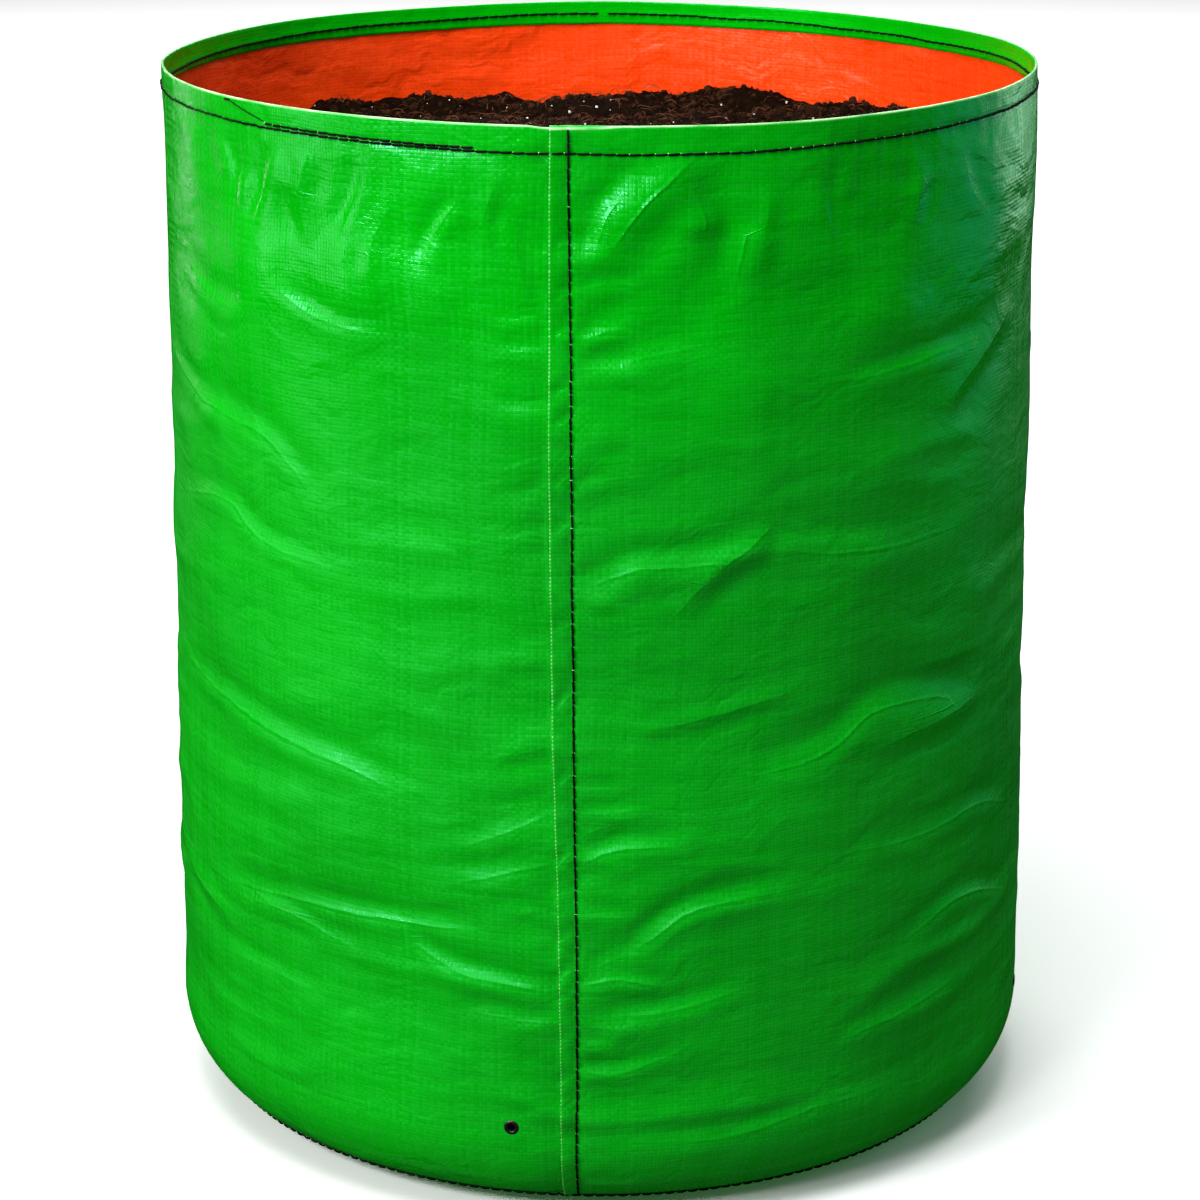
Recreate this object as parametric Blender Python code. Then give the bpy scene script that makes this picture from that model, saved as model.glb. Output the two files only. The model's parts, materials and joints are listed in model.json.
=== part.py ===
"""Round grow bag of woven sheet, filled with potting mix.

One long sheet is wrapped into a wall and lapped at the front, its top edge is folded inward as a hem,
and its foot turns in over a round base panel whose edge turns up outside it. Three lines of lockstitch
hold the sheet, and four eyelets drain it. The bag stands on Z = 0, centred on the Z axis, with its lap
seam at the front, towards -Y.
"""
import math

import bmesh
import bpy

# Driving dimensions, in metres.
BAG_DIAMETER = 0.508
BAG_HEIGHT = 0.6096
RIM_TAPER = 0.0076  # how much smaller the rim's radius is than the belly's
FOOT_RADIUS = 0.051  # rounding between the wall and the flat base
SHEET = 0.001
CLEARANCE = 0.0003  # between pieces that touch
HEM_WIDTH = 0.018
HEM_STITCH_DEPTH = 0.011  # below the rim
LAP_WIDTH = 0.020
LAP_MARGIN = 0.0093  # from the lap's outer edge to its stitching
LAP_STITCH_OFFSET = 0.0145  # from the front centre line to the stitching, to the left
THREAD_DIAMETER = 0.0012
EYELET_BORE = 0.004
EYELET_BARREL_WALL = 0.0004
EYELET_FLANGE = 0.0084
EYELET_METAL = 0.0006
EYELET_ABOVE_FOOT = 0.0075  # from the top of the foot's rounding to the eyelet's axis
EYELET_BEARING = math.radians(-11)  # from the front, towards +X
EYELET_COUNT = 4
MIX_DEPTH_BELOW_RIM = 0.057
MIX_MOUND = 0.014  # height of the mix's heaps above its edge

# How finely round shapes are divided.
WALL_STEPS = 60
FOOT_STEPS = 10
FOLD_STEPS = 4
THREAD_SIDES = 6
EYELET_SIDES = 16

# Steps of the foot's rounding, counted from straight down.
SIDE_TUCK_STEP = 2  # where the wall sheet ends, inside
BASE_STITCH_STEP = 4
BASE_TURN_UP_STEP = 5  # where the base panel ends, outside

# Worked out from the sizes above.
LAYER = SHEET + CLEARANCE  # from one layer of sheet to the next
BAG_RADIUS = BAG_DIAMETER / 2
RIM_RADIUS = BAG_RADIUS - RIM_TAPER
THREAD_OFFSET = CLEARANCE + THREAD_DIAMETER / 2  # from a surface to the middle of a thread on it
THREAD_ROOM = THREAD_DIAMETER + 2 * CLEARANCE
FOOT_CENTRE_R = BAG_RADIUS - FOOT_RADIUS
FOOT_CENTRE_Z = FOOT_RADIUS + LAYER
FOOT_STEP = math.pi / 2 / FOOT_STEPS
HEM_EDGE_Z = BAG_HEIGHT - HEM_WIDTH
HEM_STITCH_Z = BAG_HEIGHT - HEM_STITCH_DEPTH
MIX_EDGE_Z = BAG_HEIGHT - MIX_DEPTH_BELOW_RIM
EYELET_Z = FOOT_CENTRE_Z + EYELET_ABOVE_FOOT

# Bearings, from the front towards +X. The sheet runs leftwards round the bag from the lap's tucked end.
LAP_STITCH = -LAP_STITCH_OFFSET / BAG_RADIUS
LAP_EDGE = LAP_STITCH - LAP_MARGIN / BAG_RADIUS  # where the outer layer ends
LAP_END = LAP_EDGE + LAP_WIDTH / BAG_RADIUS  # where the inner layer ends
LAP_REST = LAP_EDGE - THREAD_DIAMETER / BAG_RADIUS  # the inner layer stays tucked in this far
LAP_CLEAR = LAP_REST - LAP_MARGIN / BAG_RADIUS  # and is flush with the wall from here on
FLUSH_STEP = (math.tau + LAP_CLEAR - LAP_END) / WALL_STEPS
LAP_BEARINGS = [LAP_END, LAP_STITCH, LAP_EDGE, LAP_REST]
RING = LAP_BEARINGS + [LAP_CLEAR - FLUSH_STEP * step for step in range(WALL_STEPS)]
FLAT_OF_WALL = math.cos(FLUSH_STEP / 2)  # a flat of the wall is this much nearer to the axis than its edges


def material(name, colour, roughness, metallic=0.0):
    made = bpy.data.materials.new(name)
    made.use_nodes = True
    shader = made.node_tree.nodes["Principled BSDF"]
    shader.inputs["Base Color"].default_value = (*colour, 1)
    shader.inputs["Roughness"].default_value = roughness
    shader.inputs["Metallic"].default_value = metallic
    return made


def mesh_object(name, points, faces, finish=None):
    """An object with these points and faces, its faces turned outwards."""
    mesh = bpy.data.meshes.new(name)
    mesh.from_pydata(points, [], faces)
    editable = bmesh.new()
    editable.from_mesh(mesh)
    bmesh.ops.recalc_face_normals(editable, faces=editable.faces)
    editable.to_mesh(mesh)
    editable.free()
    if finish:
        mesh.materials.append(finish)
    mesh.shade_smooth()
    mesh.set_sharp_from_angle(angle=math.radians(35))
    piece = bpy.data.objects.new(name, mesh)
    bpy.context.collection.objects.link(piece)
    return piece


def around(radius, bearing, height):
    """A point at this radius, bearing from the front towards +X, and height."""
    return (radius * math.sin(bearing), -radius * math.cos(bearing), height)


def wall_radius(height):
    """Outside radius of the plain wall above the foot."""
    share = (height - FOOT_CENTRE_Z) / (BAG_HEIGHT - FOOT_CENTRE_Z)
    return BAG_RADIUS - RIM_TAPER * share


def foot_point(step, rounding):
    """(r, z) on the foot's rounding, this many steps up from straight down, at this radius of rounding."""
    angle = step * FOOT_STEP
    return (FOOT_CENTRE_R + rounding * math.sin(angle), FOOT_CENTRE_Z - rounding * math.cos(angle))


def in_lap(bearing):
    """Whether this bearing of the ring lies where the sheet is doubled."""
    return LAP_REST <= bearing <= LAP_END


def loft(name, sections, finish, closed_round):
    """One body through equal closed sections, which joins its last to its first or is capped at both."""
    count = len(sections[0])
    points = [point for section in sections for point in section]
    faces = []
    spans = len(sections) if closed_round else len(sections) - 1
    for i in range(spans):
        here = i * count
        there = (i + 1) % len(sections) * count
        for j in range(count):
            k = (j + 1) % count
            faces.append((here + j, here + k, there + k, there + j))
    if not closed_round:
        last = (len(sections) - 1) * count
        faces.append(tuple(range(count)))
        faces.append(tuple(last + j for j in range(count)))
    return mesh_object(name, points, faces, finish)


def drum(name, rows, low, high, finish):
    """One body about the Z axis on the ring's bearings, from rows of (r, z) and its two heights on the axis."""
    ring = len(RING)
    points = [around(r, bearing, z) for row in rows for bearing, (r, z) in zip(RING, row)]
    bottom = len(points)
    top = bottom + 1
    points += [(0.0, 0.0, low), (0.0, 0.0, high)]
    faces = []
    for i in range(ring):
        k = (i + 1) % ring
        last = (len(rows) - 1) * ring
        faces.append((bottom, i, k))
        faces.append((top, last + k, last + i))
        for row in range(len(rows) - 1):
            here = row * ring
            there = here + ring
            faces.append((here + i, there + i, there + k, here + k))
    return mesh_object(name, points, faces, finish)


def sheet_section(path):
    """The (r, z) outline of a sheet whose middle follows a path, square at both ends."""
    headings = [math.atan2(b[1] - a[1], b[0] - a[0]) for a, b in zip(path, path[1:])]
    right = []
    left = []
    for i, (r, z) in enumerate(path):
        arriving = headings[max(i - 1, 0)]
        leaving = headings[min(i, len(headings) - 1)]
        half_turn = math.remainder(leaving - arriving, math.tau) / 2
        heading = arriving + half_turn
        reach = SHEET / 2 / math.cos(half_turn)
        right.append((r + reach * math.sin(heading), z - reach * math.cos(heading)))
        left.append((r - reach * math.sin(heading), z + reach * math.cos(heading)))
    return right + left[::-1]


def wall_path(inset, fold):
    """The middle of the wall sheet, (r, z), from its tucked foot over the hem's fold and down to the hem's edge.

    inset is how far this part of the sheet lies inside the plain wall, and fold is the distance between
    the two legs of its hem.
    """
    depth = SHEET / 2 + inset
    path = [foot_point(step, FOOT_RADIUS - depth) for step in range(SIDE_TUCK_STEP, FOOT_STEPS + 1)]
    fold_z = BAG_HEIGHT - depth - fold / 2
    eyelet_top = EYELET_Z + EYELET_FLANGE
    for height in (eyelet_top, (eyelet_top + fold_z) / 2, HEM_EDGE_Z, fold_z):
        path.append((wall_radius(height) - depth, height))
    fold_r = path[-1][0] - fold / 2
    for step in range(1, FOLD_STEPS + 1):
        angle = math.pi * step / FOLD_STEPS
        path.append((fold_r + fold / 2 * math.cos(angle), fold_z + fold / 2 * math.sin(angle)))
    path.append((wall_radius(HEM_EDGE_Z) - depth - fold, HEM_EDGE_Z))
    return path


def make_side_panel(finish):
    """The wall sheet, which runs once round from the lap's tucked end and on over it."""
    stations = []
    for bearing in RING:
        stations.append((bearing, LAYER if in_lap(bearing) else 0.0, LAYER))
    for bearing in (LAP_END, LAP_STITCH, LAP_EDGE):
        stations.append((bearing - math.tau, 0.0, 3 * LAYER))
    sections = []
    for bearing, inset, fold in stations:
        outline = sheet_section(wall_path(inset, fold))
        sections.append([around(r, bearing, z) for r, z in outline])
    panel = loft("side_panel", sections, finish, closed_round=False)
    hole_radius = EYELET_BORE / 2 + EYELET_BARREL_WALL + CLEARANCE
    cut_at_eyelets(panel, hole_radius, -EYELET_FLANGE, EYELET_FLANGE)


def make_base_panel(finish):
    """The round floor, flat underneath, with its edge turned up outside the wall's foot."""
    steps = range(BASE_TURN_UP_STEP + 1)
    profile = [foot_point(step, FOOT_RADIUS + LAYER) for step in steps]
    profile += [foot_point(step, FOOT_RADIUS + CLEARANCE) for step in reversed(steps)]
    rows = [[point] * len(RING) for point in profile]
    drum("base_panel", rows, 0.0, SHEET, finish)


def mix_inset(bearing):
    """How far the mix stays inside the plain wall, which leaves room for the lap and for thread."""
    return SHEET + THREAD_ROOM + (LAYER if in_lap(bearing) else 0.0)


def mix_top(radius, bearing):
    """Height of the mix's surface: heaps that die out towards the wall."""
    fade = 1 - (radius / RIM_RADIUS) ** 4
    heaps = 0.6 + 0.25 * math.sin(3 * bearing + 0.7) + 0.15 * math.sin(5 * bearing - 0.3)
    calm = min(1.0, radius / (0.3 * RIM_RADIUS))
    return MIX_EDGE_Z + MIX_MOUND * fade * (heaps * calm + 0.6 * (1 - calm))


def make_growing_mix(finish):
    """The potting mix, one solid from the base panel to its heaped top, with a pocket at each eyelet."""
    bottom = FOOT_CENTRE_Z - FOOT_RADIUS
    rows = [[foot_point(step, FOOT_RADIUS)] * len(RING) for step in range(SIDE_TUCK_STEP)]
    for step in range(SIDE_TUCK_STEP, FOOT_STEPS + 1):
        rows.append([foot_point(step, FOOT_RADIUS - mix_inset(bearing)) for bearing in RING])
    edge = [wall_radius(MIX_EDGE_Z) - mix_inset(bearing) for bearing in RING]
    rows.append([(r, MIX_EDGE_Z) for r in edge])
    for share in (0.93, 0.8, 0.62, 0.44, 0.26, 0.12):
        rows.append([(r * share, mix_top(r * share, bearing)) for r, bearing in zip(edge, RING)])
    mix = drum("growing_mix", rows, bottom, mix_top(0.0, 0.0), finish)
    reach_in = SHEET + THREAD_ROOM + 2 * EYELET_METAL + (1 - FLAT_OF_WALL) * BAG_RADIUS
    cut_at_eyelets(mix, EYELET_FLANGE / 2 + CLEARANCE, -reach_in, EYELET_FLANGE)


def tube(name, path, finish, closed):
    """A thread along a path of middles, each with the two directions that span its section."""
    sections = []
    for middle, out, up in path:
        section = []
        for side in range(THREAD_SIDES):
            angle = math.tau * side / THREAD_SIDES
            c = THREAD_DIAMETER / 2 * math.cos(angle)
            s = THREAD_DIAMETER / 2 * math.sin(angle)
            section.append(tuple(m + c * o + s * u for m, o, u in zip(middle, out, up)))
        sections.append(section)
    return loft(name, sections, finish, closed_round=closed)


def ring_thread(name, place, finish):
    """A thread all round, through place(bearing), an (r, z)."""
    path = []
    for bearing in RING:
        r, z = place(bearing)
        path.append((around(r, bearing, z), around(1, bearing, 0), (0, 0, 1)))
    tube(name, path, finish, closed=True)


def seam_thread(name, offset, foot_start, top, finish):
    """A thread up the lap seam, this far outside the wall's surface, from a place on the foot to a height."""
    profile = [foot_point(foot_start, FOOT_RADIUS + offset)]
    for step in range(math.floor(foot_start) + 1, FOOT_STEPS + 1):
        profile.append(foot_point(step, FOOT_RADIUS + offset))
    for height in (EYELET_Z + EYELET_FLANGE, (FOOT_CENTRE_Z + top) / 2, top):
        profile.append((wall_radius(height) + offset, height))
    path = []
    for i, (r, z) in enumerate(profile):
        before = profile[max(i - 1, 0)]
        after = profile[min(i + 1, len(profile) - 1)]
        tilt = math.atan2(before[0] - after[0], after[1] - before[1])
        out = around(math.cos(tilt), LAP_STITCH, math.sin(tilt))
        path.append((around(r, LAP_STITCH, z), around(1, LAP_STITCH + math.pi / 2, 0), out))
    tube(name, path, finish, closed=False)


def make_threads(finish):
    """The outer and inner threads of the hem, the base seam and the lap seam."""
    crossing = THREAD_DIAMETER + CLEARANCE
    hem_r = wall_radius(HEM_STITCH_Z)

    def outer_hem(bearing):
        over_seam = crossing if bearing == LAP_STITCH else 0.0
        return hem_r + THREAD_OFFSET + over_seam, HEM_STITCH_Z

    def inner_hem(bearing):
        layers = 3 if in_lap(bearing) else 1
        return hem_r - SHEET - layers * LAYER - THREAD_OFFSET, HEM_STITCH_Z

    def outer_base(_bearing):
        return foot_point(BASE_STITCH_STEP, FOOT_RADIUS + LAYER + THREAD_OFFSET)

    def inner_base(bearing):
        inset = SHEET + THREAD_OFFSET + (LAYER if in_lap(bearing) else 0.0)
        return foot_point(BASE_STITCH_STEP, FOOT_RADIUS - inset)

    ring_thread("hem_stitch_outer", outer_hem, finish)
    ring_thread("hem_stitch_inner", inner_hem, finish)
    ring_thread("base_seam_stitch_outer", outer_base, finish)
    ring_thread("base_seam_stitch_inner", inner_base, finish)
    thread_step = crossing / (FOOT_RADIUS * FOOT_STEP)  # a thread and its clearance, in steps of the foot
    seam_thread("side_seam_stitch_outer", THREAD_OFFSET, BASE_TURN_UP_STEP + thread_step,
                BAG_HEIGHT - 2 * LAYER, finish)
    seam_thread("side_seam_stitch_inner", -SHEET - LAYER - THREAD_OFFSET,
                BASE_STITCH_STEP + 2 * thread_step, HEM_EDGE_Z - crossing, finish)


def eyelet_bearings():
    return [EYELET_BEARING + math.tau * number / EYELET_COUNT for number in range(EYELET_COUNT)]


def eyelet_sections(bearing, profile):
    """Sections round an eyelet's axis, from (out, r) points: out from the wall's outside, and off the axis."""
    wall = wall_radius(EYELET_Z)
    sideways = around(1, bearing + math.pi / 2, 0)
    sections = []
    for side in range(EYELET_SIDES):
        angle = math.tau * side / EYELET_SIDES
        section = []
        for out, r in profile:
            middle = around(wall + out, bearing, EYELET_Z)
            across = r * math.cos(angle)
            section.append((middle[0] + across * sideways[0], middle[1] + across * sideways[1],
                            middle[2] + r * math.sin(angle)))
        sections.append(section)
    return sections


def cut_at_eyelets(piece, radius, start, end):
    """Cuts a round hole at each eyelet, from start to end, measured out from the wall's outside."""
    points = []
    faces = []
    for bearing in eyelet_bearings():
        base = len(points)
        for section in eyelet_sections(bearing, [(start, radius), (end, radius)]):
            points += section
        for side in range(EYELET_SIDES):
            a = base + 2 * side
            b = base + 2 * ((side + 1) % EYELET_SIDES)
            faces.append((a, b, b + 1, a + 1))
        faces.append(tuple(base + 2 * side for side in range(EYELET_SIDES)))
        faces.append(tuple(base + 2 * side + 1 for side in range(EYELET_SIDES)))
    cutter = mesh_object(piece.name + "_cutter", points, faces)
    cutter.hide_render = True
    cutter.display_type = "WIRE"
    cut = piece.modifiers.new("eyelet holes", "BOOLEAN")
    cut.operation = "DIFFERENCE"
    cut.solver = "EXACT"
    cut.object = cutter


def make_eyelets(finish):
    """At each drain hole, a flanged barrel from outside, rolled over a ring washer inside."""
    bore = EYELET_BORE / 2
    barrel = bore + EYELET_BARREL_WALL
    flange = EYELET_FLANGE / 2
    edge = EYELET_METAL / 3  # chamfer of the flange and the washer
    face = CLEARANCE
    lining = -wall_radius(EYELET_Z) * (1 - FLAT_OF_WALL) - SHEET - CLEARANCE
    washer_back = lining - EYELET_METAL
    roll = washer_back - CLEARANCE
    roll_r = (barrel + flange) / 2
    barrel_profile = [
        (face, barrel), (face, flange), (face + EYELET_METAL - edge, flange),
        (face + EYELET_METAL, flange - edge), (face + EYELET_METAL, bore + edge),
        (face + EYELET_METAL - edge, bore), (roll - EYELET_METAL, bore),
        (roll - EYELET_METAL, roll_r - edge), (roll, roll_r), (roll, barrel),
    ]
    washer_bore = barrel + CLEARANCE
    washer_profile = [
        (lining, washer_bore), (lining, flange), (washer_back + edge, flange),
        (washer_back, flange - edge), (washer_back, washer_bore),
    ]
    for number, bearing in enumerate(eyelet_bearings(), 1):
        loft(f"eyelet_{number}", eyelet_sections(bearing, barrel_profile), finish, closed_round=True)
        loft(f"eyelet_washer_{number}", eyelet_sections(bearing, washer_profile), finish, closed_round=True)


def main():
    for thing in list(bpy.data.objects):
        bpy.data.objects.remove(thing, do_unlink=True)
    make_side_panel(material("green woven sheet", (0.0, 0.42, 0.01), 0.35))
    make_base_panel(material("green base sheet", (0.0, 0.36, 0.01), 0.4))
    make_threads(material("black thread", (0.012, 0.012, 0.012), 0.7))
    make_eyelets(material("black lacquered brass", (0.015, 0.015, 0.015), 0.3, 1.0))
    make_growing_mix(material("potting mix", (0.035, 0.018, 0.01), 0.95))


main()
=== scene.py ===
"""Looks of a round grow bag of laminated woven sheet, filled with potting mix."""
import json
import math

import bmesh
import bpy
import numpy as np
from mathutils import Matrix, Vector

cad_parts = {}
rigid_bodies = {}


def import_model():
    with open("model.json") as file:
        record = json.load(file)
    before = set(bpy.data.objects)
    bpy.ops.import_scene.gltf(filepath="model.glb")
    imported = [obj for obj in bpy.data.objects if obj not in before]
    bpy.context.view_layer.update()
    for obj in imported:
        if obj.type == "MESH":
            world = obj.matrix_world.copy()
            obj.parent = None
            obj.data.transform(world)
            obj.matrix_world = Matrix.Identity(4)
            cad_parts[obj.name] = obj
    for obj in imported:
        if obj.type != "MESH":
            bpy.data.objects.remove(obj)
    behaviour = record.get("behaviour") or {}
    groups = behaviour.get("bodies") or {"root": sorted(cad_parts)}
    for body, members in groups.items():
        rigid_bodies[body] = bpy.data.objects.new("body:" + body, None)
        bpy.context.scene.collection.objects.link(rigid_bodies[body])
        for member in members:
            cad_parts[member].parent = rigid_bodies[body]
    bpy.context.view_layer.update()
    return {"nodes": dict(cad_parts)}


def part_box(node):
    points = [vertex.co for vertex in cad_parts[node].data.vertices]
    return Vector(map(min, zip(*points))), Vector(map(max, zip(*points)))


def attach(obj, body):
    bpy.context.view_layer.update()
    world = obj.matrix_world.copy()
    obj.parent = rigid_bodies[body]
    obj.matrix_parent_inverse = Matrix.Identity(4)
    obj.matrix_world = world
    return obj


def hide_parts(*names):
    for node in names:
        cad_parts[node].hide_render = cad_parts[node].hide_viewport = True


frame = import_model()

# Sizes, in metres. The bag's own come from the frame.
MM = 0.001
PANEL_LOW, PANEL_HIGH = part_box("side_panel")
HEM_LOW, HEM_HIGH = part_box("hem_stitch_outer")
EYELET_LOW, EYELET_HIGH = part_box("eyelet_1")
HEIGHT = PANEL_HIGH[2]
BELLY = (PANEL_HIGH[0] - PANEL_LOW[0]) / 2
RIM = (HEM_HIGH[0] - HEM_LOW[0]) / 2 - 1.5 * MM
EYELET_Z = (EYELET_LOW[2] + EYELET_HIGH[2]) / 2
EYELET_BEARINGS = [math.radians(-11) + math.tau * number / 4 for number in range(4)]
SHEET = 0.8 * MM
LAYER = 1.1 * MM  # from one layer of sheet to the next
FOOT = 51 * MM  # radius of the foot's rounding
FOOT_R = BELLY - FOOT
FOOT_Z = FOOT + LAYER + 0.2 * MM
TUCK = math.radians(18)  # the wall sheet's end under the foot, from straight down
TURN_UP = math.radians(43)  # the base panel's edge, likewise
# Distances along the section from the sheet's tucked end, to the foot's top and to the rim.
FOOT_RUN = FOOT * (math.pi / 2 - TUCK)
TOP_RUN = FOOT_RUN + HEIGHT - FOOT_Z
TAPE = 2.1 * MM  # pitch of the woven tapes
STITCH = 6.5 * MM
THREAD = 1.3 * MM
LAP_STITCH = math.radians(-3.3)  # bearings from the front, towards +X
LAP_EDGE = math.radians(-5.75)
LAP_END = math.radians(-1.3)
CUT_RUN = BELLY * (LAP_EDGE - math.tau)  # round the sheet to its cut edge at the lap
MIX_LEVEL = HEIGHT - 59 * MM


# ---------------------------------------------------------------- numbers that repeat from run to run
LATTICES = {}


def lattice(seed, size):
    if seed not in LATTICES:
        LATTICES[seed] = np.random.default_rng(seed).random((size, size))
    return LATTICES[seed]


def noise(x, y, seed, wrap=None):
    """Smooth value noise from -1 to 1 over arrays x and y, one cell per unit. wrap is a whole period in x."""
    size = 256
    grid = lattice(seed, size)
    xi = np.floor(x).astype(int)
    yi = np.floor(y).astype(int)
    fx = x - xi
    fy = y - yi
    fx = fx * fx * (3 - 2 * fx)
    fy = fy * fy * (3 - 2 * fy)
    period = wrap or size
    x0 = xi % period % size
    x1 = (xi + 1) % period % size
    y0 = yi % size
    y1 = (yi + 1) % size
    low = grid[x0, y0] * (1 - fx) + grid[x1, y0] * fx
    high = grid[x0, y1] * (1 - fx) + grid[x1, y1] * fx
    return (low * (1 - fy) + high * fy) * 2 - 1


def ease(low, high, value):
    share = np.clip((value - low) / (high - low), 0, 1)
    return share * share * (3 - 2 * share)


def bell(distance, width):
    return np.exp(-(distance / width) ** 2)


def half_turn(bearing):
    """The same bearing between -pi and pi, with 0 at the front."""
    return np.remainder(bearing + math.pi, math.tau) - math.pi


# ---------------------------------------------------------------- the wall's shape
def wall_radius(height):
    """Outside radius of the plain wall above the foot."""
    share = np.clip((height - FOOT_Z) / (HEIGHT - FOOT_Z), 0, 1)
    return BELLY - (BELLY - RIM) * share


# How the lap seam wanders: (height in mm, bearing of its edge and of its stitching in degrees).
SEAM_WANDER = [(20, -4.8, -2.9), (120, -4.85, -2.8), (200, -5.2, -2.95), (290, -5.85, -3.25),
               (440, -6.1, -3.4), (540, -6.0, -3.6), (610, -5.9, -3.75)]


def seam_bearing(height, column):
    """Bearing of the lap's edge (column 1) or its stitching (column 2) at a height."""
    heights = [row[0] * MM for row in SEAM_WANDER]
    return np.radians(np.interp(height, heights, [row[column] for row in SEAM_WANDER]))


def wander(bearing, height):
    """Where a point of the sheet at this nominal bearing really lies: it follows the seam near the front."""
    edge = seam_bearing(height, 1) - LAP_EDGE
    stitch = seam_bearing(height, 2) - LAP_STITCH
    left = edge * ease(math.radians(-28), LAP_EDGE, bearing)
    between = edge + (stitch - edge) * (bearing - LAP_EDGE) / (LAP_STITCH - LAP_EDGE)
    right = stitch * (1 - ease(LAP_STITCH, math.radians(18), bearing))
    shift = np.where(bearing < LAP_EDGE, left, np.where(bearing < LAP_STITCH, between, right))
    return bearing + shift


# Creases of the front: a line of (bearing in degrees, height in mm) points, then depth and width in mm.
# A positive depth is a valley with a ridge below it, and a negative one a ridge with a valley above it.
CREASES = [
    ([(-18, 572), (-20, 560), (-22.5, 538)], 1.3, 5),
    ([(-76, 462), (-62, 446), (-46, 437), (-37, 411)], 1.2, 8),
    ([(-74, 380), (-56, 394), (-47, 378), (-33, 372)], 1.1, 7),
    ([(-70, 288), (-56, 279), (-44, 270), (-33, 264), (-26, 256)], 1.7, 8),
    ([(-80, 168), (-70, 152), (-57, 139)], -1.6, 7),
    ([(-58, 167), (-41, 176), (-27, 179), (-15, 181)], 1.7, 6.5),
    ([(-54, 160), (-44, 166), (-32, 156)], 1.2, 5),
    ([(-24, 170), (-18, 155), (-12, 151), (-5.5, 147)], 1.6, 5.5),
    ([(-17, 132), (-5.2, 128)], 0.9, 5),
    ([(-13, 272), (-5.7, 281)], -0.7, 4),
    ([(-18, 226), (-5.7, 251)], 0.9, 7),
    ([(-18, 208), (-5.7, 224)], 1.0, 8),
    ([(-60, 122), (-49, 127), (-38, 125)], 0.8, 7),
    ([(-66, 96), (-54, 92), (-42, 96)], 0.7, 7),
    ([(11, 592), (6, 573), (1, 545)], -1.9, 11),
    ([(3.5, 588), (-0.5, 568), (-2.4, 540)], 1.1, 7),
    ([(12.5, 588), (15, 560), (14, 530)], 1.5, 11),
    ([(20.5, 575), (19, 535)], -0.7, 7),
    ([(-2.4, 488), (5, 498), (13, 504)], 0.7, 8),
    ([(32, 476), (44, 481), (56, 485)], 1.4, 7),
    ([(49, 448), (57, 468), (64, 484)], -1.2, 8),
    ([(-2.8, 374), (4, 386), (13, 387), (21, 396)], 1.4, 8),
    ([(9, 352), (14, 375), (18, 386), (21.5, 398)], -1.3, 7),
    ([(22, 395), (33, 387), (52, 386)], 1.1, 11),
    ([(5, 289), (14, 296), (25, 306)], -0.9, 4),
    ([(19, 271), (28, 277), (36, 295), (47, 293), (56, 280)], 1.6, 11),
    ([(36, 263), (49, 269), (58, 273)], -1.3, 7),
    ([(43, 303), (58, 300)], -0.8, 5),
    ([(-2.7, 247), (5, 249)], 0.8, 4.5),
    ([(-2.7, 221), (2, 229), (9, 230)], 1.6, 6),
    ([(3.5, 172), (9, 189), (14, 196), (22, 198)], 2.2, 7),
    ([(-2.6, 150), (2, 154), (8, 149)], 1.6, 4.5),
    ([(1.5, 134), (8, 135), (17, 143)], 1.1, 6),
    ([(34, 214), (46, 211), (58, 213), (70, 198)], 1.2, 8),
    ([(42, 150), (54, 163), (68, 146)], 1.5, 7),
    ([(32, 104), (44, 111), (52, 116)], 1.3, 8),
    ([(-2.7, 102), (2, 99), (10, 111)], 1.0, 4.5),
    ([(3, 60), (16, 58), (28, 66), (44, 68)], 0.9, 7),
    ([(-53, 588), (-51.5, 572), (-52, 552)], 1.0, 6),
    ([(-45, 589), (-46.5, 570), (-49, 545)], 1.2, 7),
    ([(-37.5, 588), (-39, 565), (-38, 540)], -1.1, 7),
    ([(-31, 587), (-31.5, 570), (-34, 548)], 1.0, 6),
    ([(-26, 562), (-28, 540), (-27, 512)], -0.9, 6),
    ([(-43, 520), (-36, 507), (-27, 503)], 1.1, 6),
    ([(-66, 520), (-58, 505), (-50, 503)], 1.0, 7),
    ([(-12, 582), (-13.5, 563), (-13, 545)], -0.8, 5),
    ([(-9, 560), (-8.5, 540), (-7, 520)], 0.7, 5),
    ([(29.5, 586), (29, 566), (31, 545)], 0.8, 6),
    ([(41, 588), (42.5, 570), (41, 548)], -0.8, 6),
    ([(52, 590), (54, 566), (58, 548)], 0.4, 7),
]

CREASE_DEPTH = 1.8  # what the depths of all creases are multiplied by
NO_CREST = 0.05  # distance to a crest, in metres, where none is near

# Broad swells: (bearing in degrees, height, width, tallness and how far it stands out, in mm).
BULGES = [(-47, 520, 26, 34, 4.5), (-30, 528, 20, 30, 4.0), (-20, 520, 14, 26, 2.5), (8, 560, 26, 30, 3.0),
          (60, 540, 40, 40, 3.0), (36, 500, 40, 30, 2.0), (75, 420, 50, 60, 3.0), (-65, 330, 60, 45, 3.0),
          (-40, 215, 60, 26, 3.0), (30, 240, 60, 30, 2.5), (-10, 330, 50, 60, -2.0), (55, 130, 50, 26, 2.5),
          (110, 300, 70, 50, 3.5), (150, 180, 60, 40, 3.0), (200, 400, 80, 50, 3.0), (250, 240, 70, 40, 3.5)]


def prepare(line, depth, width):
    """A crease as smooth points in metres round the wall and up it, with its depth and width in metres."""
    points = np.array([(BELLY * math.radians(b), z * MM) for b, z in line])
    steps = np.linspace(0, len(points) - 1, 6 * (len(points) - 1) + 1)
    smooth = np.array([catmull(points, step) for step in steps])
    return smooth, depth * CREASE_DEPTH * MM, width * MM


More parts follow.
